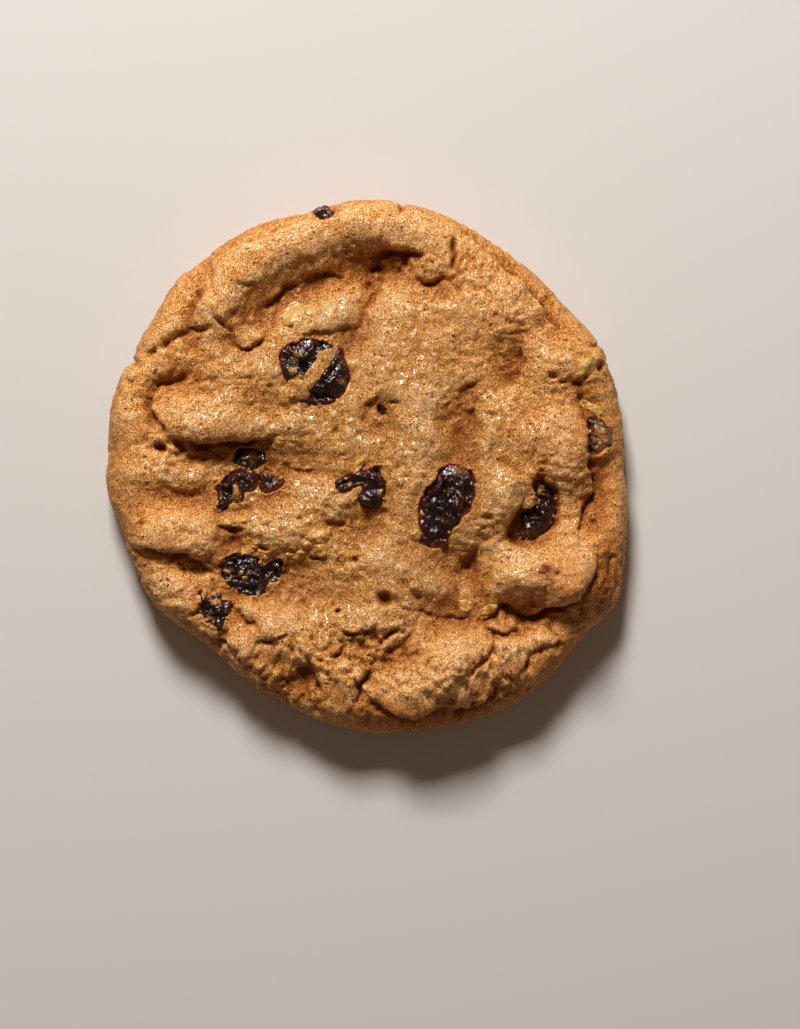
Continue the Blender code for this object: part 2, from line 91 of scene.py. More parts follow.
# Cracks and creases: depth, half width, lip, lean, then the line. The dough on the left of the
# line, going along it, is the higher side: its lip swells and leans over the crack. Millimetres.
CREASES = (
    # upper left
    (0.6, 0.35, 0.35, 0.3, (-10.5, 38.2), (-13.6, 37.0), (-14.8, 36.1), (-18.5, 35.0), (-19.6, 35.5)),
    (0.6, 0.35, 0.1, 0.0, (-23.9, 29.9), (-23.9, 28.1)),
    (0.7, 0.5, 0.5, 0.4, (-24.9, 27.8), (-26.2, 25.9), (-27.0, 24.5), (-27.2, 21.6)),
    (0.8, 0.35, 0.35, 0.4, (-27.4, 21.4), (-25.7, 21.4), (-24.6, 21.1)),
    (0.8, 0.35, 0.3, 0.4, (-21.1, 20.8), (-22.2, 22.2), (-23.7, 23.3)),
    (0.9, 0.4, 0.5, 0.6, (-21.0, 20.6), (-20.6, 19.4), (-19.4, 18.3), (-17.9, 18.2), (-16.7, 19.1),
     (-15.5, 20.4)),
    (0.5, 0.4, 0.4, 0.3, (-13.6, 25.3), (-14.6, 22.0), (-15.4, 20.6)),
    (1.2, 0.55, 0.65, 0.7, (-16.3, 24.6), (-14.8, 25.9), (-12.6, 28.0), (-10.5, 28.6)),
    (0.5, 0.35, 0.3, 0.3, (-21.2, 28.9), (-19.2, 28.2), (-17.0, 27.9)),
    (0.95, 0.45, 0.45, 0.4, (-34.7, 16.8), (-33.3, 17.9), (-31.1, 19.4), (-28.2, 20.8), (-26.8, 21.2)),
    (0.6, 0.5, 0.2, 0.0, (-35.4, 15.6), (-36.7, 16.4), (-38.6, 16.9)),
    (0.5, 0.5, 0.1, 0.0, (-29.6, 18.6), (-29.5, 16.8)),
    (0.4, 0.45, 0.1, 0.0, (-24.3, 31.6), (-25.7, 30.2)),
    # the top, where the rim's fold has sunk behind the middle
    (0.8, 0.4, 0.5, 0.6, (-3.9, 40.0), (-6.6, 39.5), (-9.0, 38.5)),
    (0.8, 0.25, 0.05, 0.0, (-6.3, 37.5), (-6.2, 36.6), (-5.4, 35.8)),
    (1.3, 0.4, 0.1, 0.0, (5.3, 39.4), (5.6, 41.0), (5.9, 43.0)),
    (1.1, 0.75, 0.9, 0.8, (0.4, 33.0), (3.5, 33.7), (6.5, 33.5), (9.4, 32.4)),
    (1.3, 0.5, 0.3, 0.2, (0.6, 30.6), (1.8, 31.3), (3.2, 30.6)),
    (1.0, 0.45, 0.2, 0.1, (0.3, 29.2), (0.5, 27.6)),
    (0.8, 0.4, 0.5, 0.6, (7.7, 29.9), (9.0, 28.6), (10.2, 28.7), (12.2, 29.6)),
    (1.9, 0.38, 0.3, 0.2, (13.7, 35.8), (13.7, 33.9), (13.9, 32.9), (13.3, 30.7)),
    (0.65, 0.35, 0.55, 0.5, (-9.6, 29.0), (-8.1, 30.0), (-6.2, 30.2), (-3.4, 29.6)),
    (0.35, 0.4, 0.2, 0.1, (-5.4, 25.5), (-2.1, 25.5), (0.0, 25.3)),
    (0.5, 0.5, 0.45, 0.3, (2.6, 29.6), (2.0, 27.4), (0.1, 24.9), (-0.9, 21.4), (-1.3, 20.4)),
    (0.5, 0.6, 0.45, 0.5, (-10.6, 20.4), (-8.5, 20.4), (-6.0, 20.9), (-3.0, 21.4), (-0.9, 21.6)),
    (0.5, 0.3, 0.15, 0.0, (16.4, 35.1), (15.1, 34.4)),
    (0.45, 0.3, 0.2, 0.2, (18.4, 32.0), (19.8, 31.0), (21.2, 30.9)),
    # the right rim
    (1.45, 0.42, 0.85, 0.9, (30.1, 21.7), (28.4, 23.2), (27.9, 24.3), (26.9, 26.0), (25.2, 27.8),
     (24.0, 29.1), (21.6, 31.4)),
    (0.35, 0.7, 0.5, 0.4, (22.8, 30.2), (20.6, 32.2), (17.8, 34.6), (15.4, 36.4)),
    (0.45, 0.35, 0.15, 0.0, (23.6, 30.7), (22.9, 31.9), (21.9, 33.0)),
    (0.5, 0.25, 0.1, 0.0, (23.1, 23.9), (23.7, 23.0)),
    (0.35, 0.7, 0.2, 0.0, (23.4, 21.5), (25.8, 20.3)),
    (0.65, 0.5, 0.65, 0.5, (24.1, 20.4), (24.2, 17.3), (24.3, 15.2), (23.1, 13.4), (21.3, 13.1)),
    (0.75, 0.55, 0.3, 0.2, (14.6, 10.8), (16.2, 12.3), (18.1, 13.9)),
    (0.55, 0.3, 0.15, 0.1, (29.8, 13.3), (31.7, 13.0)),
    (0.6, 0.4, 0.25, 0.2, (32.1, 18.6), (33.2, 17.5), (34.1, 17.3)),
    (0.6, 0.35, 0.25, 0.2, (34.9, 18.6), (36.1, 19.1), (37.4, 19.7)),
    (1.0, 0.3, 0.15, 0.1, (32.5, 13.3), (33.4, 12.6)),
    (0.45, 0.4, 0.15, 0.0, (35.9, 20.9), (37.6, 21.9)),
    (0.4, 0.4, 0.15, 0.0, (37.6, 16.3), (39.4, 16.9)),
    (1.05, 0.6, 0.85, 1.1, (33.0, -12.6), (33.4, -9.9), (34.0, -6.4), (34.9, -5.0), (36.1, -3.6),
     (35.2, -1.1), (34.7, 1.0), (34.6, 5.5), (34.2, 8.2), (33.3, 10.8), (32.9, 12.5), (32.0, 13.4)),
    (0.55, 0.4, 0.15, 0.2, (16.7, 10.4), (16.8, 8.8), (16.8, 6.6)),
    (0.5, 0.4, 0.15, 0.3, (21.0, 9.0), (21.5, 7.1), (21.1, 5.3), (20.7, 3.2)),
    (0.5, 0.4, 0.2, 0.3, (26.5, 5.4), (26.4, 3.8), (26.1, 2.2), (26.0, 0.4)),
    # the hole over the right raisin, with a nose of dough that hangs over it
    (1.3, 0.6, 0.9, 1.4, (22.6, -11.4), (22.3, -9.5), (23.3, -7.3), (24.0, -6.5), (25.2, -6.8),
     (26.1, -6.4), (26.6, -5.6), (26.0, -3.2), (26.3, -2.0), (27.0, -0.9)),
    (0.9, 0.55, 0.6, 0.4, (27.4, -0.7), (27.8, -2.9), (28.9, -3.1), (29.7, -4.4), (29.7, -7.5),
     (28.4, -9.6), (26.0, -11.6), (24.4, -12.5), (22.8, -11.8)),
    (0.5, 0.4, 0.3, 0.2, (24.8, -1.8), (23.0, -0.8), (20.3, 1.3)),
    # the left rim and the big lump that hangs over the left raisins
    (1.15, 0.5, 0.6, 0.4, (-26.8, 14.5), (-28.2, 14.3), (-29.6, 13.3), (-32.3, 12.7), (-33.4, 11.4),
     (-33.7, 9.5), (-33.3, 7.6), (-32.1, 6.7), (-31.3, 5.7), (-30.6, 3.8)),
    (1.8, 0.6, 0.85, 1.2, (-30.3, 4.1), (-28.0, 4.0), (-26.4, 3.4), (-21.5, 3.7), (-17.0, 4.0),
     (-14.4, 4.3)),
    (0.65, 0.22, 0.05, 0.0, (-32.1, 2.4), (-31.9, 1.3)),
    (0.75, 0.25, 0.15, 0.1, (-28.2, 1.8), (-27.0, 1.0), (-26.3, 1.5)),
    (0.45, 0.65, 0.3, 0.2, (-32.5, -3.1), (-29.0, -4.0), (-26.0, -4.3), (-24.2, -3.7)),
    (0.35, 0.7, 0.4, 0.3, (-23.6, -12.2), (-22.9, -10.5), (-23.4, -8.0), (-22.6, -6.2)),
    (0.95, 0.4, 0.3, 0.6, (-23.1, -9.6), (-21.0, -9.8), (-19.0, -9.9)),
    (0.3, 0.4, 0.35, 0.2, (-18.4, -9.9), (-18.0, -11.8), (-18.7, -13.2)),
    (1.0, 0.24, 0.1, 0.0, (-16.9, -12.4), (-15.0, -13.2)),
    (1.0, 0.45, 0.55, 0.8, (-36.2, -13.2), (-33.8, -13.0), (-31.7, -13.7), (-28.4, -13.7), (-25.9, -14.9),
     (-24.9, -16.2), (-22.6, -17.1)),
    # the middle
    (0.05, 1.3, 0.45, 0.2, (-10.4, -0.1), (-9.7, 3.0), (-10.1, 6.0), (-9.3, 8.2), (-10.4, 10.6)),
    (0.6, 0.25, 0.1, 0.0, (-13.6, 9.8), (-12.2, 8.9)),
    (0.55, 0.5, 0.2, 0.0, (0.7, 9.4), (0.0, 8.1), (-0.6, 6.9)),
    (0.6, 0.25, 0.2, 0.2, (3.2, 9.8), (5.8, 10.1)),
    (0.5, 0.5, 0.2, 0.1, (10.6, 7.1), (13.1, 7.1)),
    (0.55, 0.5, 0.45, 0.4, (-12.8, 0.6), (-11.2, -0.5), (-8.1, -0.9)),
    (0.45, 0.5, 0.35, 0.3, (-7.6, -8.6), (-5.3, -9.0), (-2.8, -9.2)),
    (0.8, 0.3, 0.1, 0.0, (-12.1, -12.7), (-11.4, -13.7)),
    (0.55, 0.25, 0.3, 0.3, (-8.9, -14.0), (-6.6, -14.5)),
    (0.85, 0.95, 0.45, 0.3, (20.4, -8.8), (18.4, -11.4), (16.6, -14.6), (14.2, -17.4)),
    # the bottom
    (0.6, 0.6, 0.35, 0.2, (5.1, -17.8), (6.5, -18.8), (7.3, -20.0), (9.0, -20.1)),
    (0.7, 0.4, 0.3, 0.4, (5.8, -22.0), (8.4, -22.5), (11.4, -23.6), (13.6, -23.7)),
    (0.85, 0.4, 0.35, 0.3, (14.1, -19.3), (14.3, -20.7), (14.4, -22.9)),
    (0.5, 0.3, 0.1, 0.0, (-9.7, -20.6), (-9.3, -23.2)),
    (0.5, 0.3, 0.1, 0.0, (-10.2, -22.6), (-10.0, -24.8)),
    (1.2, 0.4, 0.45, 0.7, (-4.0, -25.7), (-2.1, -26.2), (-0.5, -25.8), (1.7, -25.3)),
    (1.1, 0.45, 0.35, 0.4, (0.7, -25.6), (1.4, -26.6), (2.2, -27.3), (3.0, -26.4), (5.7, -24.7)),
    (0.65, 0.85, 0.5, 0.3, (1.5, -30.7), (4.0, -28.4), (8.2, -26.0)),
    (0.6, 0.25, 0.2, 0.1, (-2.4, -26.8), (-4.2, -29.3), (-6.8, -30.0)),
    (0.7, 0.4, 0.1, 0.0, (-8.7, -30.1), (-6.8, -30.1)),
    (1.3, 0.3, 0.1, 0.1, (-8.5, -33.0), (-6.9, -35.3)),
    (1.1, 0.4, 0.45, 0.6, (-17.4, -27.4), (-14.8, -27.3), (-13.8, -26.8), (-11.9, -26.1)),
    (0.85, 0.3, 0.15, 0.1, (-11.2, -26.4), (-11.5, -28.1), (-11.2, -29.8)),
    (1.1, 0.6, 0.55, 0.5, (-1.6, -37.6), (-1.1, -35.3), (-1.3, -33.8), (-0.1, -33.0), (1.1, -31.4)),
    (1.1, 0.6, 0.75, 1.2, (-0.2, -35.4), (2.0, -37.5), (5.9, -39.6), (7.5, -39.8), (8.8, -39.0),
     (11.4, -37.7), (14.4, -37.3)),
    (0.3, 0.5, 0.45, 0.5, (9.7, -36.3), (12.1, -35.7), (14.8, -35.5)),
    (0.55, 0.2, 0.05, 0.0, (10.8, -31.2), (11.6, -32.6)),
    (1.5, 0.45, 0.25, 0.2, (-20.2, -22.6), (-18.5, -24.2), (-17.4, -24.4), (-17.0, -25.2)),
    (0.85, 0.25, 0.1, 0.0, (-27.4, -23.5), (-25.9, -22.6)),
    (0.35, 0.6, 0.35, 0.9, (-27.6, -24.0), (-25.9, -25.6), (-24.1, -26.8), (-22.0, -27.7), (-20.2, -29.5),
     (-20.0, -30.9)),
    (0.75, 0.5, 0.55, 0.7, (14.0, -32.9), (16.2, -32.0), (19.0, -29.5), (19.8, -28.4), (19.9, -26.2),
     (18.4, -24.8)),
    (0.95, 0.4, 0.5, 0.6, (14.6, -38.0), (17.0, -37.5), (20.1, -35.9), (20.3, -34.6), (19.8, -33.1)),
    # the lower right, where a thick fold hangs over the outer band
    (1.3, 0.45, 0.5, 0.8, (12.9, -23.6), (15.7, -23.8), (17.4, -24.0), (19.9, -23.3), (21.9, -21.4)),
    (1.6, 0.6, 0.85, 1.2, (20.9, -22.1), (21.9, -21.6), (23.1, -22.5), (25.2, -23.6), (26.6, -23.1),
     (27.9, -22.1), (30.5, -21.9), (33.2, -20.9), (34.0, -19.2), (35.7, -16.8), (36.1, -15.5),
     (35.9, -13.0)),
    (0.65, 0.5, 0.45, 0.4, (18.3, -25.2), (19.8, -26.0), (22.0, -26.1), (23.8, -25.4)),
    (0.65, 0.5, 0.5, 0.5, (20.8, -33.1), (23.6, -32.6), (24.9, -31.0), (25.4, -29.3), (28.6, -28.4),
     (30.2, -28.2)),
    (1.3, 0.36, 0.1, 0.0, (19.9, -29.2), (19.6, -30.6), (19.6, -32.4)),
    (0.4, 0.5, 0.2, 0.2, (22.1, -33.3), (24.4, -33.0)),
    (0.45, 0.6, 0.2, 0.1, (30.2, -12.4), (30.6, -14.5), (30.9, -16.4)),
    (0.65, 0.35, 0.3, 0.3, (38.5, -13.2), (38.4, -15.0), (38.2, -17.4)),
    (0.7, 0.3, 0.15, 0.1, (28.6, -24.3), (28.9, -25.5), (29.8, -26.6), (30.3, -27.8)),
)  # fmt: skip

# Small pits where the crust burst or a bubble broke: x, y, radius, depth.
PITS = (
    (-31.3, 18.5, 0.35, 0.6), (-33.2, 18.0, 0.3, 0.5), (-28.3, 27.9, 0.35, 0.5), (-14.5, 36.4, 0.4, 0.6),
    (-36.9, 13.3, 0.28, 0.5), (-30.4, 14.7, 0.22, 0.4), (-33.5, 6.7, 0.85, 0.6), (-34.4, 4.3, 0.55, 0.9),
    (-35.5, 3.7, 0.45, 0.4), (-32.1, 2.9, 0.6, 2.0), (-28.9, 3.3, 0.85, 1.4), (-30.2, 0.0, 0.5, 0.3),
    (-35.2, -9.1, 0.45, 0.5), (-35.7, -6.2, 0.22, 0.4), (-32.2, -6.8, 0.22, 0.4),
    (-28.6, -19.3, 0.28, 0.5), (-29.0, -20.2, 0.22, 0.4), (-19.6, -30.1, 0.4, 0.5),
    (-14.9, 12.5, 0.45, 0.6), (-4.6, 5.5, 0.45, 0.9), (-1.7, 5.9, 0.22, 0.4), (-6.9, 7.7, 0.2, 0.3),
    (-3.6, 1.7, 0.24, 0.4), (11.4, 5.5, 0.5, 0.4), (12.3, 10.6, 0.4, 0.4), (-7.9, 1.5, 0.7, 0.3),
    (2.8, -7.1, 0.6, 0.7), (-1.7, -14.4, 0.45, 0.7), (-4.1, -14.2, 0.3, 0.4), (-12.6, -16.8, 0.6, 0.6),
    (2.8, -20.7, 0.95, 1.7), (-4.3, -22.4, 0.42, 1.2), (-5.2, -21.5, 0.25, 0.6), (-6.7, -24.8, 0.35, 0.5),
    (-5.0, -24.9, 0.35, 0.6), (-9.1, -32.1, 1.1, 1.3), (14.7, -38.8, 0.8, 1.9), (9.9, -29.0, 0.28, 0.6),
    (6.2, -34.6, 0.25, 0.5), (16.4, -16.0, 0.95, 1.0), (18.6, -7.9, 0.6, 0.7), (29.5, -16.7, 0.45, 0.9),
    (21.3, -21.5, 0.6, 1.2), (33.7, -22.4, 0.35, 0.8), (30.2, -27.9, 0.42, 1.0), (25.2, -31.2, 0.6, 1.0),
    (21.1, -32.5, 0.3, 0.6), (27.9, 0.5, 0.5, 0.4), (35.5, -8.9, 0.5, 0.8), (34.1, -3.2, 0.2, 0.3),
    (29.0, 14.3, 0.55, 0.9), (36.7, 15.7, 0.6, 0.9), (34.4, 13.8, 0.35, 0.8), (15.0, 31.7, 0.3, 0.6),
    (16.5, 32.1, 0.4, 0.7), (5.9, 31.9, 0.45, 0.8), (5.3, 30.9, 0.35, 0.6), (-8.2, 27.8, 0.28, 0.4),
    (-3.8, 27.6, 0.25, 0.4), (3.8, 22.4, 0.25, 0.4), (9.2, 24.5, 0.28, 0.4), (12.3, 26.1, 0.28, 0.4),
    (29.5, 25.5, 0.3, 0.4),
)  # fmt: skip

# Small lumps and soft hollows: x, y, half length, half width, turn in degrees, height.
KNOBS = (
    (-7.2, 31.2, 3.0, 0.8, 20, 0.6), (-31.0, 0.4, 2.0, 1.3, 20, 0.6), (-24.0, -18.2, 1.8, 1.1, -15, 0.9),
    (-25.6, -12.9, 2.2, 1.3, -10, 0.7), (7.3, -3.4, 0.7, 2.2, -18, 0.6), (24.4, -13.4, 4.6, 0.9, -4, 0.7),
    (31.5, -19.2, 1.7, 1.3, -30, 0.7), (20.8, -24.2, 2.4, 1.1, 10, 0.7), (10.3, 31.8, 2.4, 1.8, 0, 0.6),
    (-18.9, 20.2, 1.8, 1.0, 10, 0.5), (-20.7, -11.4, 1.7, 1.3, 0, -0.8), (-3.0, -5.4, 1.3, 0.8, 10, 0.6),
    (-6.0, -4.0, 0.8, 0.8, 0, 0.7), (-6.4, -5.2, 0.9, 0.6, 0, 0.6), (-12.2, 10.8, 1.2, 0.9, 30, 0.8),
    (-15.6, 11.6, 1.6, 0.9, 20, 0.5), (1.6, 30.0, 0.6, 0.5, 0, 0.7), (16.9, -35.6, 2.6, 1.6, 20, 0.5),
    (36.6, -12.4, 1.5, 1.9, 5, 0.6), (36.9, -17.4, 1.0, 1.7, 5, 0.4), (23.3, -9.9, 1.3, 2.6, -8, -1.2),
    (-2.6, -5.3, 1.7, 1.5, 0, 0.6), (1.0, 11.0, 1.6, 0.4, 38, 0.6), (-15.6, -25.2, 2.4, 1.7, 10, 0.5),
    (22.6, 9.2, 0.9, 2.4, -6, 0.4), (18.6, 1.8, 0.8, 2.6, -6, 0.5), (-18.6, -22.2, 1.2, 1.4, 20, 0.7),
    (3.9, -26.9, 1.9, 0.6, 40, 0.6), (-3.9, -32.2, 3.2, 2.3, 0, 0.6), (9.3, -21.2, 2.9, 1.2, -8, -0.8),
    (-1.9, 9.0, 0.8, 1.6, 10, 0.4), (-10.4, -2.8, 3.2, 1.3, -6, 0.6), (23.2, -28.6, 2.0, 1.2, 15, 0.7),
    (27.6, -26.4, 1.8, 1.2, 0, 0.4), (35.2, 16.5, 2.3, 0.9, 48, 0.5), (16.0, -19.6, 1.3, 2.6, -20, 0.6),
    (21.4, -2.6, 4.2, 2.9, -42, 0.7), (18.6, 3.6, 0.8, 2.4, -22, 0.45), (28.2, 1.6, 1.3, 2.8, 8, -0.45),
    (14.6, 4.0, 1.5, 3.4, -12, -0.35),
)  # fmt: skip

# The mouths that the raisins show through: points round each mouth, clockwise from above,
# counted from the middle of its raisin. Millimetres.
MOUTHS = {
    "raisin_upper": (
        (-5.0, 2.8), (-3.6, 3.7), (-1.8, 4.5), (0.3, 4.7), (2.2, 4.2), (4.3, 2.6), (6.0, -0.2),
        (6.2, -1.8), (5.3, -3.5), (4.2, -5.1), (1.3, -5.7), (-1.7, -5.2), (-3.0, -3.0), (-4.5, -1.2),
        (-4.9, 0.8)),
    "raisin_left": (
        (-2.9, 0.4), (-2.2, 1.2), (-1.4, 2.0), (-0.9, 2.6), (0.0, 3.2), (0.9, 3.5), (1.8, 3.5),
        (2.6, 3.1), (3.6, 2.8), (3.9, 1.0), (3.4, 0.1), (2.1, -0.4), (1.6, -1.2), (1.2, -1.9),
        (0.1, -1.8), (-0.5, -2.0), (-0.8, -2.7), (-1.2, -3.1), (-2.1, -3.1), (-2.8, -2.5), (-2.3, -1.9),
        (-1.8, -1.1), (-2.1, -0.4), (-2.9, -0.1)),
    "raisin_left_tucked": (
        (-2.4, -0.5), (-1.6, 1.1), (-0.8, 2.2), (0.5, 1.9), (1.6, 2.0), (2.8, 1.5), (3.4, 0.1),
        (2.6, -1.0), (1.6, -1.8), (0.6, -1.6), (-0.3, -1.1), (-1.4, -0.9)),
    "raisin_left_small": (
        (-1.7, 1.8), (-0.9, 2.2), (0.1, 2.2), (1.0, 1.8), (1.3, 1.1), (2.1, 1.0), (2.6, 0.7), (2.5, -0.2),
        (1.8, -1.0), (0.8, -1.2), (0.1, -1.6), (-0.7, -1.4), (-1.3, -0.9), (-1.7, -0.1)),
    "raisin_middle": (
        (-3.5, 0.4), (-3.3, 1.1), (-1.8, 1.9), (-0.4, 2.7), (1.0, 3.1), (1.9, 2.9), (2.0, 3.5),
        (2.8, 3.9), (3.4, 3.6), (3.8, 2.6), (4.4, 1.6), (4.6, 0.2), (4.2, -1.4), (3.3, -2.7), (1.7, -2.9),
        (0.6, -2.3), (0.2, -1.4), (0.7, -0.3), (1.2, 0.6), (1.0, 1.1), (0.0, 0.4), (-1.2, 0.0),
        (-3.2, -0.4)),
    "raisin_large": (
        (-0.6, 5.6), (0.9, 6.1), (2.4, 5.7), (3.8, 5.3), (4.7, 4.1), (5.1, 2.9), (4.8, 1.3), (4.5, 0.1),
        (4.2, -1.2), (3.2, -2.3), (2.4, -3.1), (1.5, -3.9), (0.8, -4.9), (0.6, -5.9), (0.0, -6.9),
        (-1.6, -7.2), (-3.6, -6.6), (-4.2, -5.8), (-3.6, -5.0), (-3.9, -3.1), (-4.2, -1.7), (-4.0, -0.1),
        (-3.3, 1.1), (-3.0, 1.9), (-2.0, 2.9), (-1.2, 4.2)),
    "raisin_in_hole": (
        (0.7, 5.9), (1.1, 5.1), (1.3, 4.1), (2.1, 4.0), (2.8, 3.4), (3.2, 2.0), (3.3, 0.4), (3.1, -0.9),
        (2.4, -1.8), (1.5, -3.2), (0.3, -4.0), (-0.6, -4.4), (-1.6, -4.8), (-2.5, -4.5), (-2.9, -3.8),
        (-2.5, -2.5), (-2.4, -1.0), (-2.5, 0.4), (-1.6, 0.2), (-0.8, 0.6), (0.0, 1.4), (0.1, 2.1),
        (-0.3, 2.7), (-0.4, 3.6), (-0.5, 4.4), (0.1, 5.4)),
    "raisin_right_edge": (
        (-1.3, 3.4), (-0.5, 3.7), (0.6, 3.4), (1.6, 2.8), (2.3, 1.8), (2.6, 0.8), (2.7, -0.8),
        (2.0, -1.4), (1.5, -2.0), (0.6, -2.5), (-0.3, -2.8), (-1.0, -2.5), (-1.0, -0.7), (-0.9, 1.3)),
    "raisin_lower_left": (
        (-4.1, 2.4), (-3.4, 2.8), (-2.4, 3.1), (-1.4, 3.3), (-1.0, 2.7), (-0.1, 2.8), (0.9, 2.6),
        (1.5, 1.8), (2.3, 1.4), (3.2, 1.6), (4.0, 2.1), (4.8, 2.0), (5.1, 1.2), (5.0, 0.0), (4.6, -1.0),
        (3.9, -1.5), (2.9, -1.6), (2.4, -2.3), (3.1, -2.7), (3.4, -2.9), (2.5, -3.3), (1.1, -3.6),
        (-0.5, -3.5), (-1.3, -3.2), (-2.5, -2.7), (-3.4, -2.1), (-4.1, -1.3), (-4.8, -0.4), (-4.7, 0.6),
        (-4.5, 1.4)),
    "raisin_star": (
        (-1.8, 1.6), (-2.1, 2.1), (-2.6, 2.5), (-2.8, 3.3), (-2.2, 3.5), (-1.8, 4.1), (-1.1, 3.5),
        (-1.0, 2.7), (-0.5, 2.1), (-0.2, 2.5), (0.3, 3.2), (1.2, 3.2), (1.2, 2.4), (1.5, 2.0), (2.6, 2.0),
        (3.2, 1.6), (3.1, 0.6), (2.8, -0.3), (2.1, -0.7), (1.8, -1.8), (1.7, -3.1), (1.2, -3.0),
        (0.5, -2.3), (0.0, -1.9), (-0.5, -1.8), (-1.0, -1.1), (-1.6, -0.6), (-1.9, -0.1), (-3.8, -1.0),
        (-2.5, 0.2), (-2.2, 1.1)),
    "raisin_top_edge": (
        (-1.4, 0.5), (-0.6, 1.1), (0.5, 1.3), (1.5, 1.0), (2.1, 0.4), (1.7, -0.4), (0.7, -0.7),
        (-0.6, -0.6)),
    "raisin_peeking": (
        (-0.5, 1.4), (0.2, 1.6), (0.9, 1.1), (1.2, 0.3), (1.4, -1.0), (1.0, -1.3), (0.5, -0.6),
        (-0.1, -0.1), (-0.5, 0.5)),
}  # fmt: skip

# Toasted places: x, y, half length, half width, turn in degrees, and how toasted. Past 1, the
# crust is red-brown.
TOASTED = (
    (6.0, -38.6, 4.6, 1.1, -14, 0.9), (12.6, -36.4, 2.4, 0.8, 8, 0.8), (31.2, -19.2, 1.6, 1.0, -20, 1.2),
    (27.6, -16.0, 1.8, 0.9, 22, 1.75), (26.4, -16.2, 1.2, 0.7, 10, 0.9), (20.3, 23.5, 0.7, 0.4, 20, 2.1),
    (16.6, -31.2, 1.8, 0.7, 42, 0.6), (-31.4, 13.4, 1.8, 0.5, 15, 0.8), (-31.0, 9.2, 1.6, 0.9, 20, 0.5),
    (-22.7, 11.8, 0.9, 0.6, 0, 0.9), (-30.2, 0.0, 0.7, 0.5, 0, 0.9), (-17.2, -25.6, 1.4, 0.8, 20, 0.6),
    (34.2, -5.6, 1.4, 1.6, 30, 0.6), (17.9, -28.4, 1.2, 1.0, 0, 0.5), (-8.6, -2.4, 0.3, 0.2, 0, 1.8),
    (-9.9, -2.35, 0.35, 0.2, 10, 1.6), (1.7, -16.2, 0.5, 0.25, 0, 1.7), (8.7, -15.0, 0.35, 0.2, 45, 1.9),
    (-17.1, 11.4, 0.4, 0.3, 0, 1.6), (23.6, -8.9, 0.8, 2.0, 10, 0.8), (22.9, -31.3, 2.0, 0.8, 10, 0.6),
    (-4.0, -34.6, 2.6, 0.7, -12, 0.5), (32.0, -18.0, 5.0, 3.0, -50, 0.75), (33.5, 3.0, 2.2, 8.0, 4, 0.5),
    (27.5, -20.5, 6.0, 1.6, 12, 0.6), (30.0, -31.0, 8.0, 3.0, 45, 0.6), (8.0, -39.5, 11.0, 2.2, 3, 0.6),
    (-27.5, -27.0, 8.0, 2.5, -45, 0.5), (38.5, -8.0, 2.5, 12.0, 0, 0.4), (2.0, 32.0, 4.0, 1.5, 0, 0.6),
)  # fmt: skip

# Crumbly places, where the crust broke into coarse grains: x, y, half length, half width, turn,
# and how crumbly.
CRUMBLY = (
    (-2.0, -34.0, 17.0, 5.5, 0, 1.0), (21.0, -30.0, 11.0, 5.5, 38, 1.0),
    (36.5, -14.0, 3.0, 9.0, -8, 0.25), (-20.0, -26.5, 7.0, 3.5, -40, 0.9),
    (-21.5, -15.5, 5.0, 3.5, -20, 0.7), (2.5, -26.5, 10.0, 3.5, 8, 0.8), (12.0, 31.0, 9.0, 3.5, -20, 0.9),
    (36.0, 4.0, 2.5, 8.0, 0, 0.3), (-30.5, 1.5, 5.0, 2.0, -10, 0.8), (24.0, 26.0, 5.0, 3.0, -42, 0.5),
    (-8.0, 8.5, 6.0, 3.0, 0, 0.4), (-13.0, -8.5, 9.0, 2.5, 0, 0.5), (19.5, 5.5, 3.0, 6.0, 0, 0.6),
    (-20.0, 26.5, 8.0, 3.0, 45, 0.4),
)  # fmt: skip


def mesh_tree(*nodes):
    """The frame's nodes as one shape that rays can be cast at."""
    bm = bmesh.new()
    for node in nodes:
        bm.from_mesh(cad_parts[node].data)
    tree = BVHTree.FromBMesh(bm)
    bm.free()
    return tree


def soften(field, reach):
    """Blur a sheet of values over the grid, by a reach in cells."""
    steps = np.arange(len(field))
    weight = np.exp(-0.5 * ((steps[:, None] - steps[None, :]) / reach) ** 2)
    weight /= weight.sum(axis=1, keepdims=True)
    return weight @ field @ weight.T


def square_to_disc(a, b):
    """Spread the cells of a square evenly over a unit disc: distance from the middle, and angle."""
    wide = np.abs(a) > np.abs(b)
    radius = np.where(wide, a, b)
    safe_a = np.where(wide, a, 1.0)
    safe_b = np.where(wide | (b == 0.0), 1.0, b)
    angle = np.where(wide, 0.25 * math.pi * b / safe_a, 0.5 * math.pi - 0.25 * math.pi * a / safe_b)
    return np.abs(radius), np.arctan2(radius * np.sin(angle), radius * np.cos(angle))


def unevenness(places, size, octaves, shift):
    """Fractal unevenness of about -1 to 1 at places given in metres, for lumps of a given size."""
    start = Vector((shift, 2.3 * shift, 5.1 * shift))
    flat = places.reshape(-1, 3) / size
    values = [noise.fractal(Vector(place) + start, 1.0, 2.0, octaves) for place in flat]
    return np.array(values).reshape(places.shape[:-1])


def swayed(places, sway, octaves, shifts):
    """Places in millimetres, moved about so that what is laid along lines gets a ragged edge."""
    amount, size = sway
    x = places[..., 0] / MM + amount * unevenness(places, size * MM, octaves, shifts[0])
    y = places[..., 1] / MM + amount * unevenness(places, size * MM, octaves, shifts[1])
    return x, y


def grains(places, size):
    """Rounded grains packed side by side: 1 on top of each, and less in the seams between."""
    flat = places.reshape(-1, 3) / size
    near = [noise.voronoi(Vector(place))[0][0] for place in flat]
    return 1.0 - 1.6 * np.array(near).reshape(places.shape[:-1]) ** 2


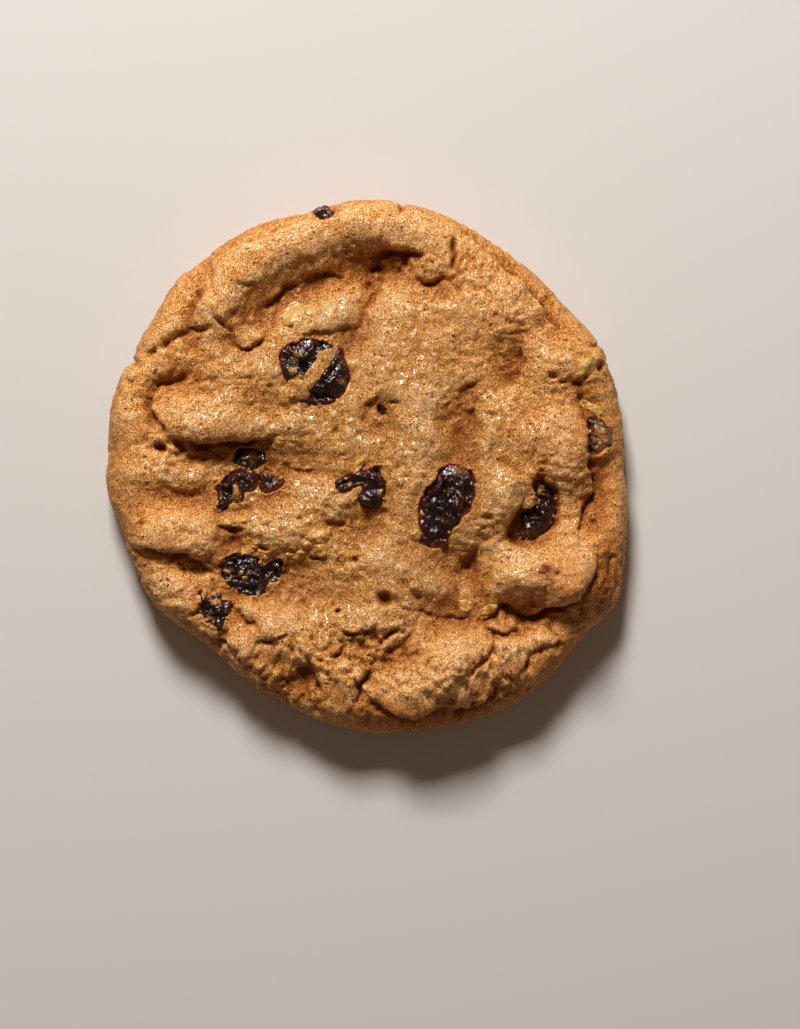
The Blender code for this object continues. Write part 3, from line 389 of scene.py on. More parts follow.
def edge_radius(tree, angle):
    """Distance from the middle to the frame's dough at its widest, by angle."""
    turns = np.linspace(-math.pi, math.pi, 720, endpoint=False)
    clear = 80.0 * MM  # a start outside the cookie
    radius = []
    for turn in turns:
        out = Vector((math.cos(turn), math.sin(turn), 0.0))
        hit = tree.ray_cast(out * clear + Vector((0.0, 0.0, WAIST)), -out)[0]
        radius.append(math.hypot(hit.x, hit.y))
    window = np.hanning(9) / np.hanning(9).sum()
    radius = np.convolve(np.concatenate((radius[-4:], radius, radius[:4])), window, mode="valid")
    return np.interp(angle, turns, radius, period=2.0 * math.pi)


def bun(across, angle, edge):
    """A smooth bun under the lumps: its places, and the direction that faces out of it."""
    inner = edge - SHOULDER
    on_top = np.clip(across / TOP_SHARE, 0.0, 1.0)
    turn = np.clip((across - TOP_SHARE) / SIDE_SHARE, 0.0, 1.0) * 0.5 * math.pi
    under = np.clip((across - TOP_SHARE - SIDE_SHARE) / (1.0 - TOP_SHARE - SIDE_SHARE), 0.0, 1.0)
    radius = inner * on_top + SHOULDER * np.sin(turn) ** FULLNESS - TUCK * under**2
    fall = (CROWN - RIM_DROP - WAIST) * (1.0 - np.abs(np.cos(turn)) ** FULLNESS)
    height = CROWN - RIM_DROP * on_top**2 - fall - WAIST * under
    places = np.stack((radius * np.cos(angle), radius * np.sin(angle), height), axis=-1)
    tip = np.sin(turn)
    outward = np.stack((tip * np.cos(angle), tip * np.sin(angle), np.cos(turn)), axis=-1)
    return places, outward


def frame_lift(tree, raisin_tree, places, outward):
    """How far the frame's dough stands off the bun, with the raisins' pockets filled in."""
    start = 12.0 * MM  # how far outside the bun each ray starts
    lift = np.zeros(places.shape[:2])
    known = np.ones(places.shape[:2])
    for row, column in np.ndindex(*lift.shape):
        out = Vector(outward[row, column])
        begin = Vector(places[row, column]) + out * start
        hit, _normal, _face, reach = tree.ray_cast(begin, -out)
        if hit is None or reach > 2.0 * start:
            known[row, column] = 0.0
            continue
        lift[row, column] = start - reach
        if raisin_tree.find_nearest(hit, POCKET_WALL)[0] is not None:
            known[row, column] = 0.0
    # Fill each pocket from the dough close round it, or from wider round where none is close.
    near_reach, wide_reach = 5.0, 16.0
    near, wide = soften(known, near_reach), soften(known, wide_reach)
    fill_near = soften(lift * known, near_reach) / np.maximum(near, 1e-6)
    fill_wide = soften(lift * known, wide_reach) / np.maximum(wide, 1e-6)
    share = np.clip(near * 8.0, 0.0, 1.0)
    fill = share * fill_near + (1.0 - share) * fill_wide
    facet_reach, lump_reach = 1.9, 18.0
    lift = soften(np.where(known > 0.5, lift, fill), facet_reach)
    return lift + (LIFT_GAIN - 1.0) * (lift - soften(lift, lump_reach))


def hill(x, y, cx, cy, long, wide, turn, power):
    """An oval hill: 1 in the middle and a half at its edge."""
    c, s = math.cos(math.radians(turn)), math.sin(math.radians(turn))
    across = ((x - cx) * c + (y - cy) * s) / long
    down = ((y - cy) * c - (x - cx) * s) / wide
    return np.exp(-math.log(2.0) * np.hypot(across, down) ** power)


def line_place(x, y, points):
    """Distance to a line, how far to its left (1) or right (-1), the share of the way along it,
    and the direction to its left."""
    nearest = np.full(x.shape, np.inf)
    side, place, left_x, left_y = (np.zeros(x.shape) for _ in range(4))
    lengths = [math.dist(a, b) for a, b in zip(points, points[1:])]
    done = 0.0
    for (ax, ay), (bx, by), length in zip(points, points[1:], lengths):
        ux, uy = (bx - ax) / length, (by - ay) / length
        along = np.clip((x - ax) * ux + (y - ay) * uy, 0.0, length)
        gap = np.hypot(x - ax - along * ux, y - ay - along * uy)
        closer = gap < nearest
        off = (ux * (y - ay) - uy * (x - ax)) / np.maximum(gap, 1e-6)
        nearest = np.where(closer, gap, nearest)
        side = np.where(closer, off, side)
        place = np.where(closer, (done + along) / sum(lengths), place)
        left_x = np.where(closer, -uy, left_x)
        left_y = np.where(closer, ux, left_y)
        done += length
    return nearest, np.clip(side, -1.0, 1.0), place, left_x, left_y


def crease(x, y, rough, depth, wide, lip, lean, points):
    """The lift along a crack, and how far its higher side leans sideways over it."""
    high_fade, low_fade, lean_fade = 3.2, 2.2, 2.0  # how far out each side's change dies away
    lean_start = 0.6
    cut_gain, lip_gain = 0.8, 0.75
    gap, side, place, left_x, left_y = line_place(x, y, points)
    wide = wide * (1.0 + 0.5 * rough)
    taper = np.sqrt(np.sin(math.pi * np.clip(place, 0.01, 0.99)))
    high = 0.5 + 0.5 * side
    wall = np.exp(-gap / (0.8 * wide))
    upper = (1.0 - wall) * np.exp(-gap / high_fade) - 0.6 * wall
    lower = -0.6 * np.exp(-gap / low_fade)
    cut = np.exp(-((gap / wide) ** 2))
    broken = np.clip(1.0 + 1.1 * rough, 0.15, 1.6)
    lift = lip * (high * upper + (1.0 - high) * lower) - depth * cut * broken
    shift = -lean * high * (1.0 - np.exp(-((gap / lean_start) ** 2))) * np.exp(-gap / lean_fade)
    lift = np.where(lift < 0.0, cut_gain, lip_gain) * lift
    return taper * lift, taper * shift * left_x, taper * shift * left_y


def mouth_inside(x, y, points):
    """How far inside a closed line each place is, less than 0 outside it, and the way out."""
    loop = (*points, points[0])
    gap, _side, _place, out_x, out_y = line_place(x, y, loop)
    inside = np.zeros(x.shape, bool)
    for (ax, ay), (bx, by) in zip(loop, loop[1:]):
        level = (ay > y) != (by > y)
        inside ^= level & (x < ax + (y - ay) * (bx - ax) / ((by - ay) or 1.0))
    return np.where(inside, gap, -gap), out_x, out_y


def middle_of(node):
    """The middle of a frame node's box, in millimetres."""
    low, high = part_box(node)
    return 0.5 * (np.array(low) + np.array(high)) / MM


def pockets(places):
    """Where a raisin shows, the dough swells to a lip, then drops steeply under the raisin. The
    lift and the sideways moves in metres, and how close each place is to a lip."""
    drop_width, lip_width, squeeze_width, push = 0.8, 0.9, 1.1, 0.7 * MM
    x, y = swayed(places, MOUTH_SWAY, 3, (12.0, 13.0))
    uneven = np.clip(0.7 + unevenness(places, 2.5 * MM, 1, 14.0), 0.0, 1.6)
    lift, move_x, move_y, close = (np.zeros(x.shape) for _ in range(4))
    for node, points in MOUTHS.items():
        middle = middle_of(node)
        inside, out_x, out_y = mouth_inside(x - middle[0], y - middle[1], points)
        inside = soften(inside, 0.8)
        drop = np.clip(inside / drop_width, 0.0, 1.0)
        lip = np.exp(-np.abs(inside) / lip_width)
        lift += POCKET_LIP * lip * uneven - POCKET_DEPTH * drop * drop * (3.0 - 2.0 * drop)
        squeeze = push * np.maximum(inside, 0.0) * np.exp(-((inside / squeeze_width) ** 2))
        move_x += squeeze * out_x
        move_y += squeeze * out_y
        close = np.maximum(close, lip)
    return lift, move_x, move_y, close


# Soft mounds with sharp little valleys between them, at three sizes: size, height, shift.
MOUNDS = ((4.4, 0.60, 3.0), (2.0, 0.45, 4.0), (1.1, 0.30, 5.0))
# Grains of the crumbly places, at two sizes: size, height.
GRAINS = ((1.6, 0.36), (0.95, 0.26))
SIDE_START, SIDE_WIDTH = 36.0, 5.0  # from here out, the mounds are lower on the side wall


def fine_relief(places):
    """The creases, pits, knobs and grain that are too fine for the frame: lift and sideways lean,
    in metres."""
    coarse = unevenness(places, 2.2 * MM, 2, 1.0)
    x, y = swayed(places, CREASE_SWAY, 3, (7.0, 9.0))
    lift, lean_x, lean_y = (np.zeros(x.shape) for _ in range(3))
    out = np.hypot(places[..., 0], places[..., 1]) / MM
    side = np.clip((out - SIDE_START) / SIDE_WIDTH, 0.0, 1.0)
    for depth, wide, lip, lean, *points in CREASES:
        parts = crease(x, y, coarse, depth, wide, lip, lean, points)
        lift, lean_x, lean_y = lift + parts[0], lean_x + parts[1], lean_y + parts[2]
    for cx, cy, radius, depth in PITS:
        lift -= depth * hill(x, y, cx, cy, radius, 0.9 * radius, 40.0 * cx, 3.0)
    for *knob, height in KNOBS:
        lift += height * hill(x, y, *knob, 2.4)
    for size, height, shift in MOUNDS:
        folded = np.sqrt(unevenness(places, size * MM, 2, shift) ** 2 + 0.008)
        lift += height * (1.0 - 0.5 * side) * (np.minimum(folded, 0.6) - 0.2)
    broken = np.clip(0.40 + 1.3 * unevenness(places, 7.0 * MM, 2, 6.0), 0.12, 1.0)
    for *spot, amount in CRUMBLY:
        broken += 1.2 * amount * hill(x, y, *spot, 2.5)
    for size, height in GRAINS:
        lift += height * broken * (grains(places, size * MM) - 0.6)
    return lift * MM, lean_x * MM, lean_y * MM


def toast_at(places):
    """How toasted the crust is: 1 is orange, 2 is red-brown."""
    x, y = swayed(places, TOAST_SWAY, 2, (16.0, 17.0))
    toast = np.zeros(x.shape)
    for *spot, strength in TOASTED:
        toast = np.maximum(toast, strength * hill(x, y, *spot, 2.5))
    return toast


HOLLOW_REACH, SEAM_REACH = 9.0, 2.5  # reaches, in cells, of the hollows that get painted shade on the crust
RIM_START = 0.55  # share of the way out from which the crust counts as rim
LOW_SIDE = 5.5 * MM  # below this, the side is toasted by the tray
TRAY_TOAST, LIP_TOAST = 0.7, 0.50  # how toasted the underside and the lips round the raisins are
BASE_DENT, BASE_DENT_SIZE = 0.25 * MM, 6.0 * MM
BASE_INSET = 0.7 * MM  # how far inside the side's foot the flat underside ends


def make_dough():
    """The top and side as one fine sheet, bridged to a coarser underside."""
    tree = mesh_tree("dough")
    raisin_tree = mesh_tree(*(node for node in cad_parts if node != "dough"))
    bm = bmesh.new()
    bmesh.ops.create_grid(bm, x_segments=CELLS, y_segments=CELLS, size=1.0)
    side = CELLS + 1
    flat = np.array([vert.co for vert in bm.verts]).reshape(side, side, 3)
    across, angle = square_to_disc(flat[..., 0], flat[..., 1])
    places, outward = bun(across, angle, edge_radius(tree, angle))
    lift = frame_lift(tree, raisin_tree, places, outward)
    smooth = places + outward * lift[..., None]
    fade = np.clip(smooth[..., 2] / WAIST, 0.0, 1.0)
    fine, lean_x, lean_y = fine_relief(smooth)
    fine = fine * fade
    shaped = smooth + outward * fine[..., None]
    shaped[..., 0] += lean_x * fade
    shaped[..., 1] += lean_y * fade
    sunk, move_x, move_y, close = pockets(shaped)
    shaped += outward * sunk[..., None]
    shaped[..., 0] += move_x
    shaped[..., 1] += move_y
    shaped[..., 2] = np.maximum(shaped[..., 2], 0.0)
    height = lift + fine
    # How sunk each place is: by it the crust paints shade into hollows and painted light onto crests.
    hollow_shade = soften(height, HOLLOW_REACH) - height
    hollow_shade = hollow_shade + 0.6 * (soften(height, SEAM_REACH) - height)
    on_rim = np.clip((across / TOP_SHARE - RIM_START) / (1.0 - RIM_START), 0.0, 1.0)
    low_side = np.clip(1.0 - shaped[..., 2] / LOW_SIDE, 0.0, 1.0)
    toast = np.maximum(np.maximum(toast_at(shaped), LIP_TOAST * close), TRAY_TOAST * low_side)
    for vert, place in zip(bm.verts, shaped.reshape(-1, 3)):
        vert.co = place
    rim = [edge for edge in bm.edges if edge.is_boundary]
    for edge in rim:
        for vert in edge.verts:
            vert.co.z = 0.0
    top_count = len(bm.verts)
    base = bmesh.ops.create_grid(bm, x_segments=BASE_CELLS, y_segments=BASE_CELLS, size=1.0)
    flat = np.array([vert.co for vert in base["verts"]])
    out, turn = square_to_disc(flat[:, 0], flat[:, 1])
    reach = (edge_radius(tree, turn) - TUCK - BASE_INSET) * out
    for vert, far, heading, share in zip(base["verts"], reach, turn, out):
        vert.co = (far * math.cos(heading), far * math.sin(heading), 0.0)
        dent = noise.fractal(vert.co / BASE_DENT_SIZE, 1.0, 2.0, 4)
        vert.co.z = BASE_DENT * max(0.0, dent) * min(1.0, 6.0 * (1.0 - share))
    base_rim = [edge for edge in bm.edges if edge.is_boundary and edge not in set(rim)]
    bmesh.ops.bridge_loops(bm, edges=rim + base_rim)
    bmesh.ops.recalc_face_normals(bm, faces=bm.faces)
    under = len(bm.verts) - top_count
    values = {
        "hollow_shade": np.concatenate((hollow_shade.ravel() / MM, np.zeros(under))),
        "rim": np.concatenate((on_rim.ravel(), np.ones(under))),
        "toast": np.concatenate((toast.ravel(), np.full(under, TRAY_TOAST))),
    }
    return bm, values


def add_piece(name, bm, material, values=None):
    """Make a mesh into a piece of the cookie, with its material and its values."""
    mesh = bpy.data.meshes.new(name)
    bm.to_mesh(mesh)
    bm.free()
    for key, data in (values or {}).items():
        mesh.attributes.new(key, "FLOAT", "POINT").data.foreach_set("value", np.float32(data))
    mesh.materials.append(material)
    mesh.shade_smooth()
    piece = bpy.data.objects.new(name, mesh)
    bpy.context.scene.collection.objects.link(piece)
    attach(piece, "root")
    return piece


def add_node(tree, kind, inputs=None, **settings):
    """Add a shader node. Each input is a plain value, or another node's output to link."""
    node = tree.nodes.new("ShaderNode" + kind)
    for key, value in settings.items():
        setattr(node, key, value)
    for key, value in (inputs or {}).items():
        if isinstance(value, bpy.types.NodeSocket):
            tree.links.new(value, node.inputs[key])
        else:
            node.inputs[key].default_value = value
    return node


def mix_colours(tree, share, below, above, blend="MIX"):
    """Mix two colours. Each colour is a plain value or an output."""
    node = add_node(tree, "Mix", data_type="RGBA", blend_type=blend, clamp_result=True)
    for index, value in ((0, share), (6, below), (7, above)):
        if isinstance(value, bpy.types.NodeSocket):
            tree.links.new(value, node.inputs[index])
        elif index == 0:
            node.inputs[index].default_value = value
        else:
            node.inputs[index].default_value = (*value, 1.0)
    return node.outputs[2]


def rescale(tree, value, low, high, out_low=0.0, out_high=1.0):
    """Spread a range of values over another range, and hold it at the ends."""
    node = add_node(tree, "MapRange", {0: value, 1: low, 2: high, 3: out_low, 4: out_high})
    return node.outputs[0]


def work_out(tree, kind, first, second):
    """Add, multiply or otherwise join two values."""
    return add_node(tree, "Math", {0: first, 1: second}, operation=kind).outputs[0]


def cloud(tree, place, scale, detail, roughness):
    """Soft, cloudy noise."""
    values = {"Vector": place, "Scale": scale, "Detail": detail, "Roughness": roughness}
    return add_node(tree, "TexNoise", values).outputs["Fac"]


def add_bump(tree, shader, height, depth):
    """Raise a material's surface by a pattern, with its depth in metres."""
    bump = add_node(tree, "Bump", {"Strength": 1.0, "Distance": depth, "Height": height})
    tree.links.new(bump.outputs["Normal"], shader.inputs["Normal"])


CRUMB_DARK = (0.22, 0.055, 0.004)
CRUMB_GOLD = (0.53, 0.198, 0.019)
CRUMB_PALE = (0.76, 0.490, 0.190)
# Pale sugar grains, the brightest of them standing in for painted glints.
SUGAR_AND_GLINT = (0.95, 0.84, 0.62)
RIM_TINT = (1.12, 1.05, 1.00)  # the rim's grains are this much paler
CRUST_ORANGE = (0.50, 0.160, 0.018)
CRUST_RED = (0.12, 0.016, 0.004)
# The colour of painted shade in hollows, crevices and pinholes.
CREVICE_SHADE = (0.22, 0.050, 0.004)
SPICE = (0.050, 0.018, 0.010)
GRAIN_SCALE = 7000.0  # grains to the metre
SPECK_SCALE = 1400.0
HOLE_SCALE = 900.0


def make_crust_group():
    """Baked dough close up: dark, golden, pale and sugary grains, the palest also painted glints, spice
    specks and pinholes, with painted shade in hollows and painted light on crests.
    """
    tree = bpy.data.node_groups.new("baked_crust", "ShaderNodeTree")
    for key, way, kind in (("Place", "INPUT", "Vector"), ("Hollow_shade", "INPUT", "Float"),
                           ("Rim", "INPUT", "Float"), ("Toast", "INPUT", "Float"),
                           ("Colour", "OUTPUT", "Color"), ("Roughness", "OUTPUT", "Float"),
                           ("Moist", "OUTPUT", "Float"), ("Height", "OUTPUT", "Float")):
        tree.interface.new_socket(key, in_out=way, socket_type="NodeSocket" + kind)
    given = tree.nodes.new("NodeGroupInput").outputs
    place = given["Place"]

    def cells(scale):
        """Packed grains: how far from a grain's middle, and two values that differ by grain."""
        node = add_node(tree, "TexVoronoi", {"Vector": place, "Scale": scale})
        picks = add_node(tree, "SeparateColor", {"Color": node.outputs["Color"]}).outputs
        return node.outputs["Distance"], picks[0], picks[1]

    def times(first, second):
        return work_out(tree, "MULTIPLY", first, second)

    def plus(first, second):
        return work_out(tree, "ADD", first, second)

    fine = cloud(tree, place, 7500.0, 1.0, 0.6)
    clump = cloud(tree, place, 1500.0, 2.0, 0.5)
    patch = cloud(tree, place, 230.0, 3.0, 0.55)
    broad = cloud(tree, place, 60.0, 2.0, 0.55)
    grain_gap, grain_shade, grain_shine = cells(GRAIN_SCALE)
    # Each grain has its own tone. Painted shade makes the grains darker in hollows and painted light
    # makes them paler on crests; the rim's grains are paler too.
    shade = plus(times(grain_shade, 1.15), times(fine, 0.70))
    shade = plus(shade, plus(times(clump, 0.20), plus(times(patch, 0.40), times(broad, 0.35))))
    shade = plus(shade, rescale(tree, given["Hollow_shade"], -0.6, 1.2, 0.08, -0.36))
    shade = rescale(tree, shade, 0.76, 1.96)
    colour = mix_colours(tree, rescale(tree, shade, 0.0, 0.34), CRUMB_DARK, CRUMB_GOLD)
    colour = mix_colours(tree, rescale(tree, shade, 0.34, 0.86), colour, CRUMB_PALE)
    # The palest grains take the sugar colour, which is partly a painted glint.
    colour = mix_colours(tree, rescale(tree, shade, 0.90, 1.0), colour, SUGAR_AND_GLINT)
    colour = mix_colours(tree, given["Rim"], colour, RIM_TINT, "MULTIPLY")
    orange = rescale(tree, plus(patch, broad), 0.98, 1.25, 0.0, 0.25)
    colour = mix_colours(tree, orange, colour, CRUST_ORANGE)
    toasted = plus(given["Toast"], times(clump, 0.9))
    toasted = work_out(tree, "SUBTRACT", toasted, 0.22)
    colour = mix_colours(tree, rescale(tree, toasted, 0.35, 1.3, 0.0, 0.75), colour, CRUST_ORANGE)
    colour = mix_colours(tree, rescale(tree, toasted, 1.5, 1.9, 0.0, 0.9), colour, CRUST_RED)
    # Painted shade: hollows and crevices are mixed towards a dark shade colour, less so on pale grains.
    sunk = times(rescale(tree, given["Hollow_shade"], 0.15, 1.35, 0.0, 0.85),
                 rescale(tree, grain_shade, 0.0, 1.0, 1.0, 0.40))
    colour = mix_colours(tree, sunk, colour, CREVICE_SHADE)
    # Spice specks: one cell in a dozen holds a speck smaller than the cell.
    speck_gap, speck_pick, _other = cells(SPECK_SCALE)
    speck = times(rescale(tree, speck_gap, 0.12, 0.26, 1.0, 0.0),
                  rescale(tree, speck_pick, 0.07, 0.09, 0.9, 0.0))
    colour = mix_colours(tree, speck, colour, SPICE)
    # Pinholes where steam left the crust, in groups, darkened with painted shade.
    hole_gap, hole_pick, _other = cells(HOLE_SCALE)
    hole = times(rescale(tree, plus(hole_gap, times(clump, 0.3)), 0.24, 0.40, 1.0, 0.0),
                 rescale(tree, plus(hole_pick, patch), 0.82, 0.98, 1.0, 0.0))
    colour = mix_colours(tree, times(hole, 0.8), colour, CREVICE_SHADE)
    height = plus(plus(times(fine, 0.42), times(grain_gap, -0.32)), times(clump, 0.40))
    height = work_out(tree, "SUBTRACT", height, times(hole, 0.60))
    dry = rescale(tree, plus(given["Rim"], patch), 0.45, 1.25)
    wet = times(rescale(tree, dry, 0.0, 1.0, 0.9, 0.3),
                rescale(tree, given["Hollow_shade"], -0.1, 0.5, 1.0, 0.1))
    moist = times(wet, rescale(tree, grain_shine, 0.80, 0.86, 0.03, 1.0))
    outputs = tree.nodes.new("NodeGroupOutput").inputs
    tree.links.new(colour, outputs["Colour"])
    tree.links.new(rescale(tree, dry, 0.0, 1.0, 0.50, 0.64), outputs["Roughness"])
    tree.links.new(moist, outputs["Moist"])
    tree.links.new(height, outputs["Height"])
    return tree


crust_group = make_crust_group()


def new_material(name):
    """A named material with its Principled shader, and the place on the piece to pattern it by."""
    material = bpy.data.materials.new(name)
    material.use_nodes = True
    tree = material.node_tree
    place = add_node(tree, "TexCoord").outputs["Object"]
    return material, tree, tree.nodes["Principled BSDF"], place


def attribute(tree, name):
    """A value that the mesh carries at each of its corners."""
    return add_node(tree, "Attribute", attribute_name=name).outputs["Fac"]


def add_crust(tree, place):
    """The baked crust, as a node of a material."""
    crust = tree.nodes.new("ShaderNodeGroup")
    crust.node_tree = crust_group
    tree.links.new(place, crust.inputs["Place"])
    return crust


def make_dough_material():
    """The crust over a soft crumb that lets a little light through."""
    material, tree, shader, place = new_material("baked_dough")
    crust = add_crust(tree, place)
    for key in ("Hollow_shade", "Rim", "Toast"):
        tree.links.new(attribute(tree, key.lower()), crust.inputs[key])
    add_bump(tree, shader, crust.outputs["Height"], 0.00022)
    tree.links.new(crust.outputs["Colour"], shader.inputs["Base Color"])
    tree.links.new(crust.outputs["Roughness"], shader.inputs["Roughness"])
    tree.links.new(crust.outputs["Moist"], shader.inputs["Coat Weight"])
    shader.inputs["Coat Roughness"].default_value = 0.20
    shader.inputs["Coat IOR"].default_value = 1.8
    shader.inputs["Specular IOR Level"].default_value = 0.25
    shader.inputs["Subsurface Weight"].default_value = 0.22
    shader.inputs["Subsurface Scale"].default_value = 0.0009
    shader.inputs["Subsurface Radius"].default_value = (1.0, 0.42, 0.14)
    return material


dough_mesh, dough_values = make_dough()
dough_surface = BVHTree.FromBMesh(dough_mesh)
dough_material = make_dough_material()
dough = add_piece("cookie_dough", dough_mesh, dough_material, dough_values)
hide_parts("dough")

# ---- The raisins ---------------------------------------------------------------------------
# Small black raisins, stirred into the dough and half sunk in it. Baking dried their skins into
# tight, glossy folds, dark plum, red where the flesh is thin, with a painted glow for light through it.

OVERLAP = 0.45  # how far a raisin reaches out under the dough round its mouth, in millimetres

# Folds in the skins: height (less than 0 is a valley), half width, then the line, counted from
# the middle of the raisin. Millimetres.
FOLDS = {
    "raisin_upper": (
        (-0.7, 0.6, (-4.5, 1.6), (-2.5, 1.5), (-1.0, 0.4)),
        (0.5, 0.45, (-2.7, 0.9), (-1.2, 1.5), (-0.7, 2.3), (0.2, 3.1), (0.5, 4.0)),
        (-0.3, 0.4, (1.0, 3.4), (2.8, 3.6)),
        (0.4, 0.4, (-4.3, 0.0), (-3.0, -0.4), (-1.7, -1.0), (-0.3, -0.2)),
        (0.45, 0.35, (2.0, -1.1), (3.1, 0.1), (3.7, 1.2), (4.2, 2.0)),
        (0.5, 0.35, (1.3, -2.8), (2.2, -3.0), (3.1, -2.1), (3.7, -1.4)),
        (0.4, 0.3, (2.9, -3.1), (3.7, -2.6), (4.4, -2.0)),
        (0.4, 0.3, (0.8, -3.6), (2.2, -3.7), (3.2, -3.5)), (-0.9, 0.5, (0.7, -4.3), (4.0, -4.4)),
        (0.3, 0.3, (0.9, -4.7), (2.1, -4.7))),
    "raisin_left": (
        (0.4, 0.3, (-2.6, 0.5), (-1.5, 1.2), (-0.4, 1.9), (0.5, 2.1)),
        (0.4, 0.3, (-1.2, 0.5), (-0.4, 1.1), (0.5, 2.0), (1.4, 2.8)),
        (-0.8, 0.5, (-1.7, 0.0), (-0.6, -0.1), (-0.4, -1.1)),
        (-0.9, 0.8, (1.1, 1.9), (2.2, 0.8), (2.8, 0.4)),
        (0.4, 0.35, (-2.1, -2.5), (-1.0, -1.4), (-0.3, -1.1))),
    "raisin_left_tucked": (
        (-1.2, 0.8, (-2.2, 0.0), (-0.9, 1.4)), (-1.2, 0.8, (2.2, 1.3), (2.0, -1.2)),
        (-0.6, 0.5, (-1.2, -0.6), (0.8, -1.2))),
    "raisin_left_small": (
        (0.3, 0.35, (-1.2, 1.4), (0.2, 1.0), (0.6, 0.0)), (-0.3, 0.4, (0.9, 0.6), (1.9, 0.0))),
    "raisin_middle": (
        (0.4, 0.3, (-3.1, 1.1), (-1.8, 1.9), (-0.2, 2.5), (0.8, 2.6)),
        (-0.5, 0.35, (-2.6, 0.7), (-0.6, 1.1), (0.9, 1.4)), (0.4, 0.3, (-2.7, 0.0), (-1.6, 0.4)),
        (0.5, 0.35, (0.6, 2.2), (1.8, 1.8), (3.2, 1.4)), (-0.5, 0.4, (2.2, 2.8), (3.2, 2.7)),
        (0.4, 0.3, (1.2, 0.4), (0.6, -0.8)), (0.35, 0.3, (0.5, -1.2), (1.5, -1.8), (2.5, -1.0)),
        (-0.5, 0.6, (2.4, 0.2), (3.8, 0.2))),
    "raisin_large": (
        (-1.0, 1.3, (-0.2, 2.1), (-1.4, -1.1), (-1.3, -3.3)),
        (0.45, 0.3, (0.3, 3.9), (-0.5, 2.7), (-1.0, 1.4), (-0.8, 0.0)),
        (0.5, 0.4, (1.4, 1.8), (0.6, 1.3), (-0.2, 0.1)),
        (0.6, 0.4, (2.8, 2.7), (2.8, 1.2), (2.4, -0.3), (2.1, -2.0)),
        (0.6, 0.35, (2.0, -0.3), (1.2, -1.6), (0.5, -2.9), (-0.7, -4.2)),
        (-0.8, 0.45, (3.7, 3.1), (3.4, 0.7), (3.1, -1.5)),
        (-0.9, 0.4, (-3.6, -4.6), (-1.9, -5.6), (0.6, -5.3)), (-1.3, 0.9, (-3.6, -6.3), (-0.2, -6.8))),
    "raisin_in_hole": (
        (0.5, 0.4, (0.7, 2.7), (2.0, 2.3), (2.1, 0.5)),
        (0.6, 0.35, (-0.3, 0.8), (0.8, -0.2), (2.7, -0.8)),
        (0.5, 0.3, (-1.7, -0.9), (0.1, -1.1), (1.4, -0.7)), (0.3, 0.8, (-1.5, -2.8), (1.0, -1.8)),
        (-0.6, 0.4, (-1.8, -0.3), (0.4, -0.5))),
    "raisin_right_edge": (
        (0.3, 0.4, (-0.8, 3.1), (0.9, 2.7), (2.0, 1.4)), (-0.5, 0.4, (-0.8, 1.8), (-0.7, -1.8)),
        (-0.4, 0.3, (0.2, 0.2), (0.7, -0.3))),
    "raisin_lower_left": (
        (0.5, 0.35, (-4.4, 2.0), (-2.9, 2.3), (-1.3, 2.9)), (0.5, 0.3, (0.5, 1.5), (1.7, 1.1)),
        (0.4, 0.3, (-0.8, 0.8), (0.1, 0.9)), (0.4, 0.3, (-4.4, -0.4), (-3.4, -1.4)),
        (0.4, 0.3, (-0.1, -0.2), (1.1, -0.4)), (0.4, 0.3, (3.7, 1.1), (4.7, 1.4)),
        (-0.7, 0.8, (2.4, 0.4), (3.9, -0.6)), (-0.6, 0.5, (-2.4, 1.6), (-2.6, -0.2)),
        (-0.5, 0.5, (-2.9, -2.0), (-0.1, -2.6)), (0.4, 0.35, (-1.0, -3.2), (1.3, -3.3))),
    "raisin_star": (
        (0.5, 0.35, (-1.9, 1.8), (-0.9, 2.0)), (0.4, 0.35, (1.3, -1.2), (1.1, -2.3)),
        (0.5, 0.35, (-0.4, -0.1), (0.8, 0.2), (1.4, 0.9)),
        (-0.5, 0.4, (-1.6, 0.6), (0.0, 0.7), (0.2, -0.9))),
    "raisin_top_edge": (
        (0.3, 0.3, (-0.9, 0.8), (0.6, 1.3)),),
    "raisin_peeking": (
        (-0.9, 0.7, (-0.1, 0.9), (0.9, -0.6)), (0.5, 0.3, (0.1, 1.3), (0.6, 0.8))),
}  # fmt: skip

# Thin smears of dough left on the skins: the raisin, x and y from its middle, half length, half
# width, turn in degrees, and how thick, up to 1.
SMEARS = (
    ("raisin_upper", -2.9, -0.3, 0.8, 0.5, 80, 0.9), ("raisin_upper", -2.2, 2.2, 0.6, 0.35, 0, 0.6),
    ("raisin_upper", 4.8, -2.1, 0.5, 0.4, 0, 0.6), ("raisin_left", 0.5, -0.5, 1.4, 0.55, 95, 0.8),
    ("raisin_left_tucked", 1.3, 0.4, 1.3, 0.8, 70, 0.42),
    ("raisin_left_small", 0.3, 1.7, 1.0, 0.5, -10, 0.6),
    ("raisin_left_small", 0.4, 0.1, 1.6, 1.1, 0, 0.16), ("raisin_large", 2.2, 5.2, 1.3, 0.5, -10, 0.35),
    ("raisin_large", -3.5, -1.8, 0.4, 0.3, 60, 0.8), ("raisin_middle", -1.1, 0.8, 0.4, 0.3, 60, 0.9),
    ("raisin_middle", 3.6, -0.6, 0.5, 0.2, 60, 0.7), ("raisin_right_edge", 0.9, 0.2, 2.3, 1.2, 100, 0.66),
    ("raisin_right_edge", 0.6, -1.8, 0.9, 0.6, 0, 0.5),
    ("raisin_lower_left", -3.5, 0.4, 0.8, 0.3, 0, 0.6), ("raisin_star", -0.4, -0.6, 0.6, 0.3, -30, 0.6),
    ("raisin_in_hole", -1.6, -3.6, 0.8, 0.5, 30, 0.35), ("raisin_in_hole", 0.6, 4.0, 0.6, 1.2, 0, 0.6),
)  # fmt: skip

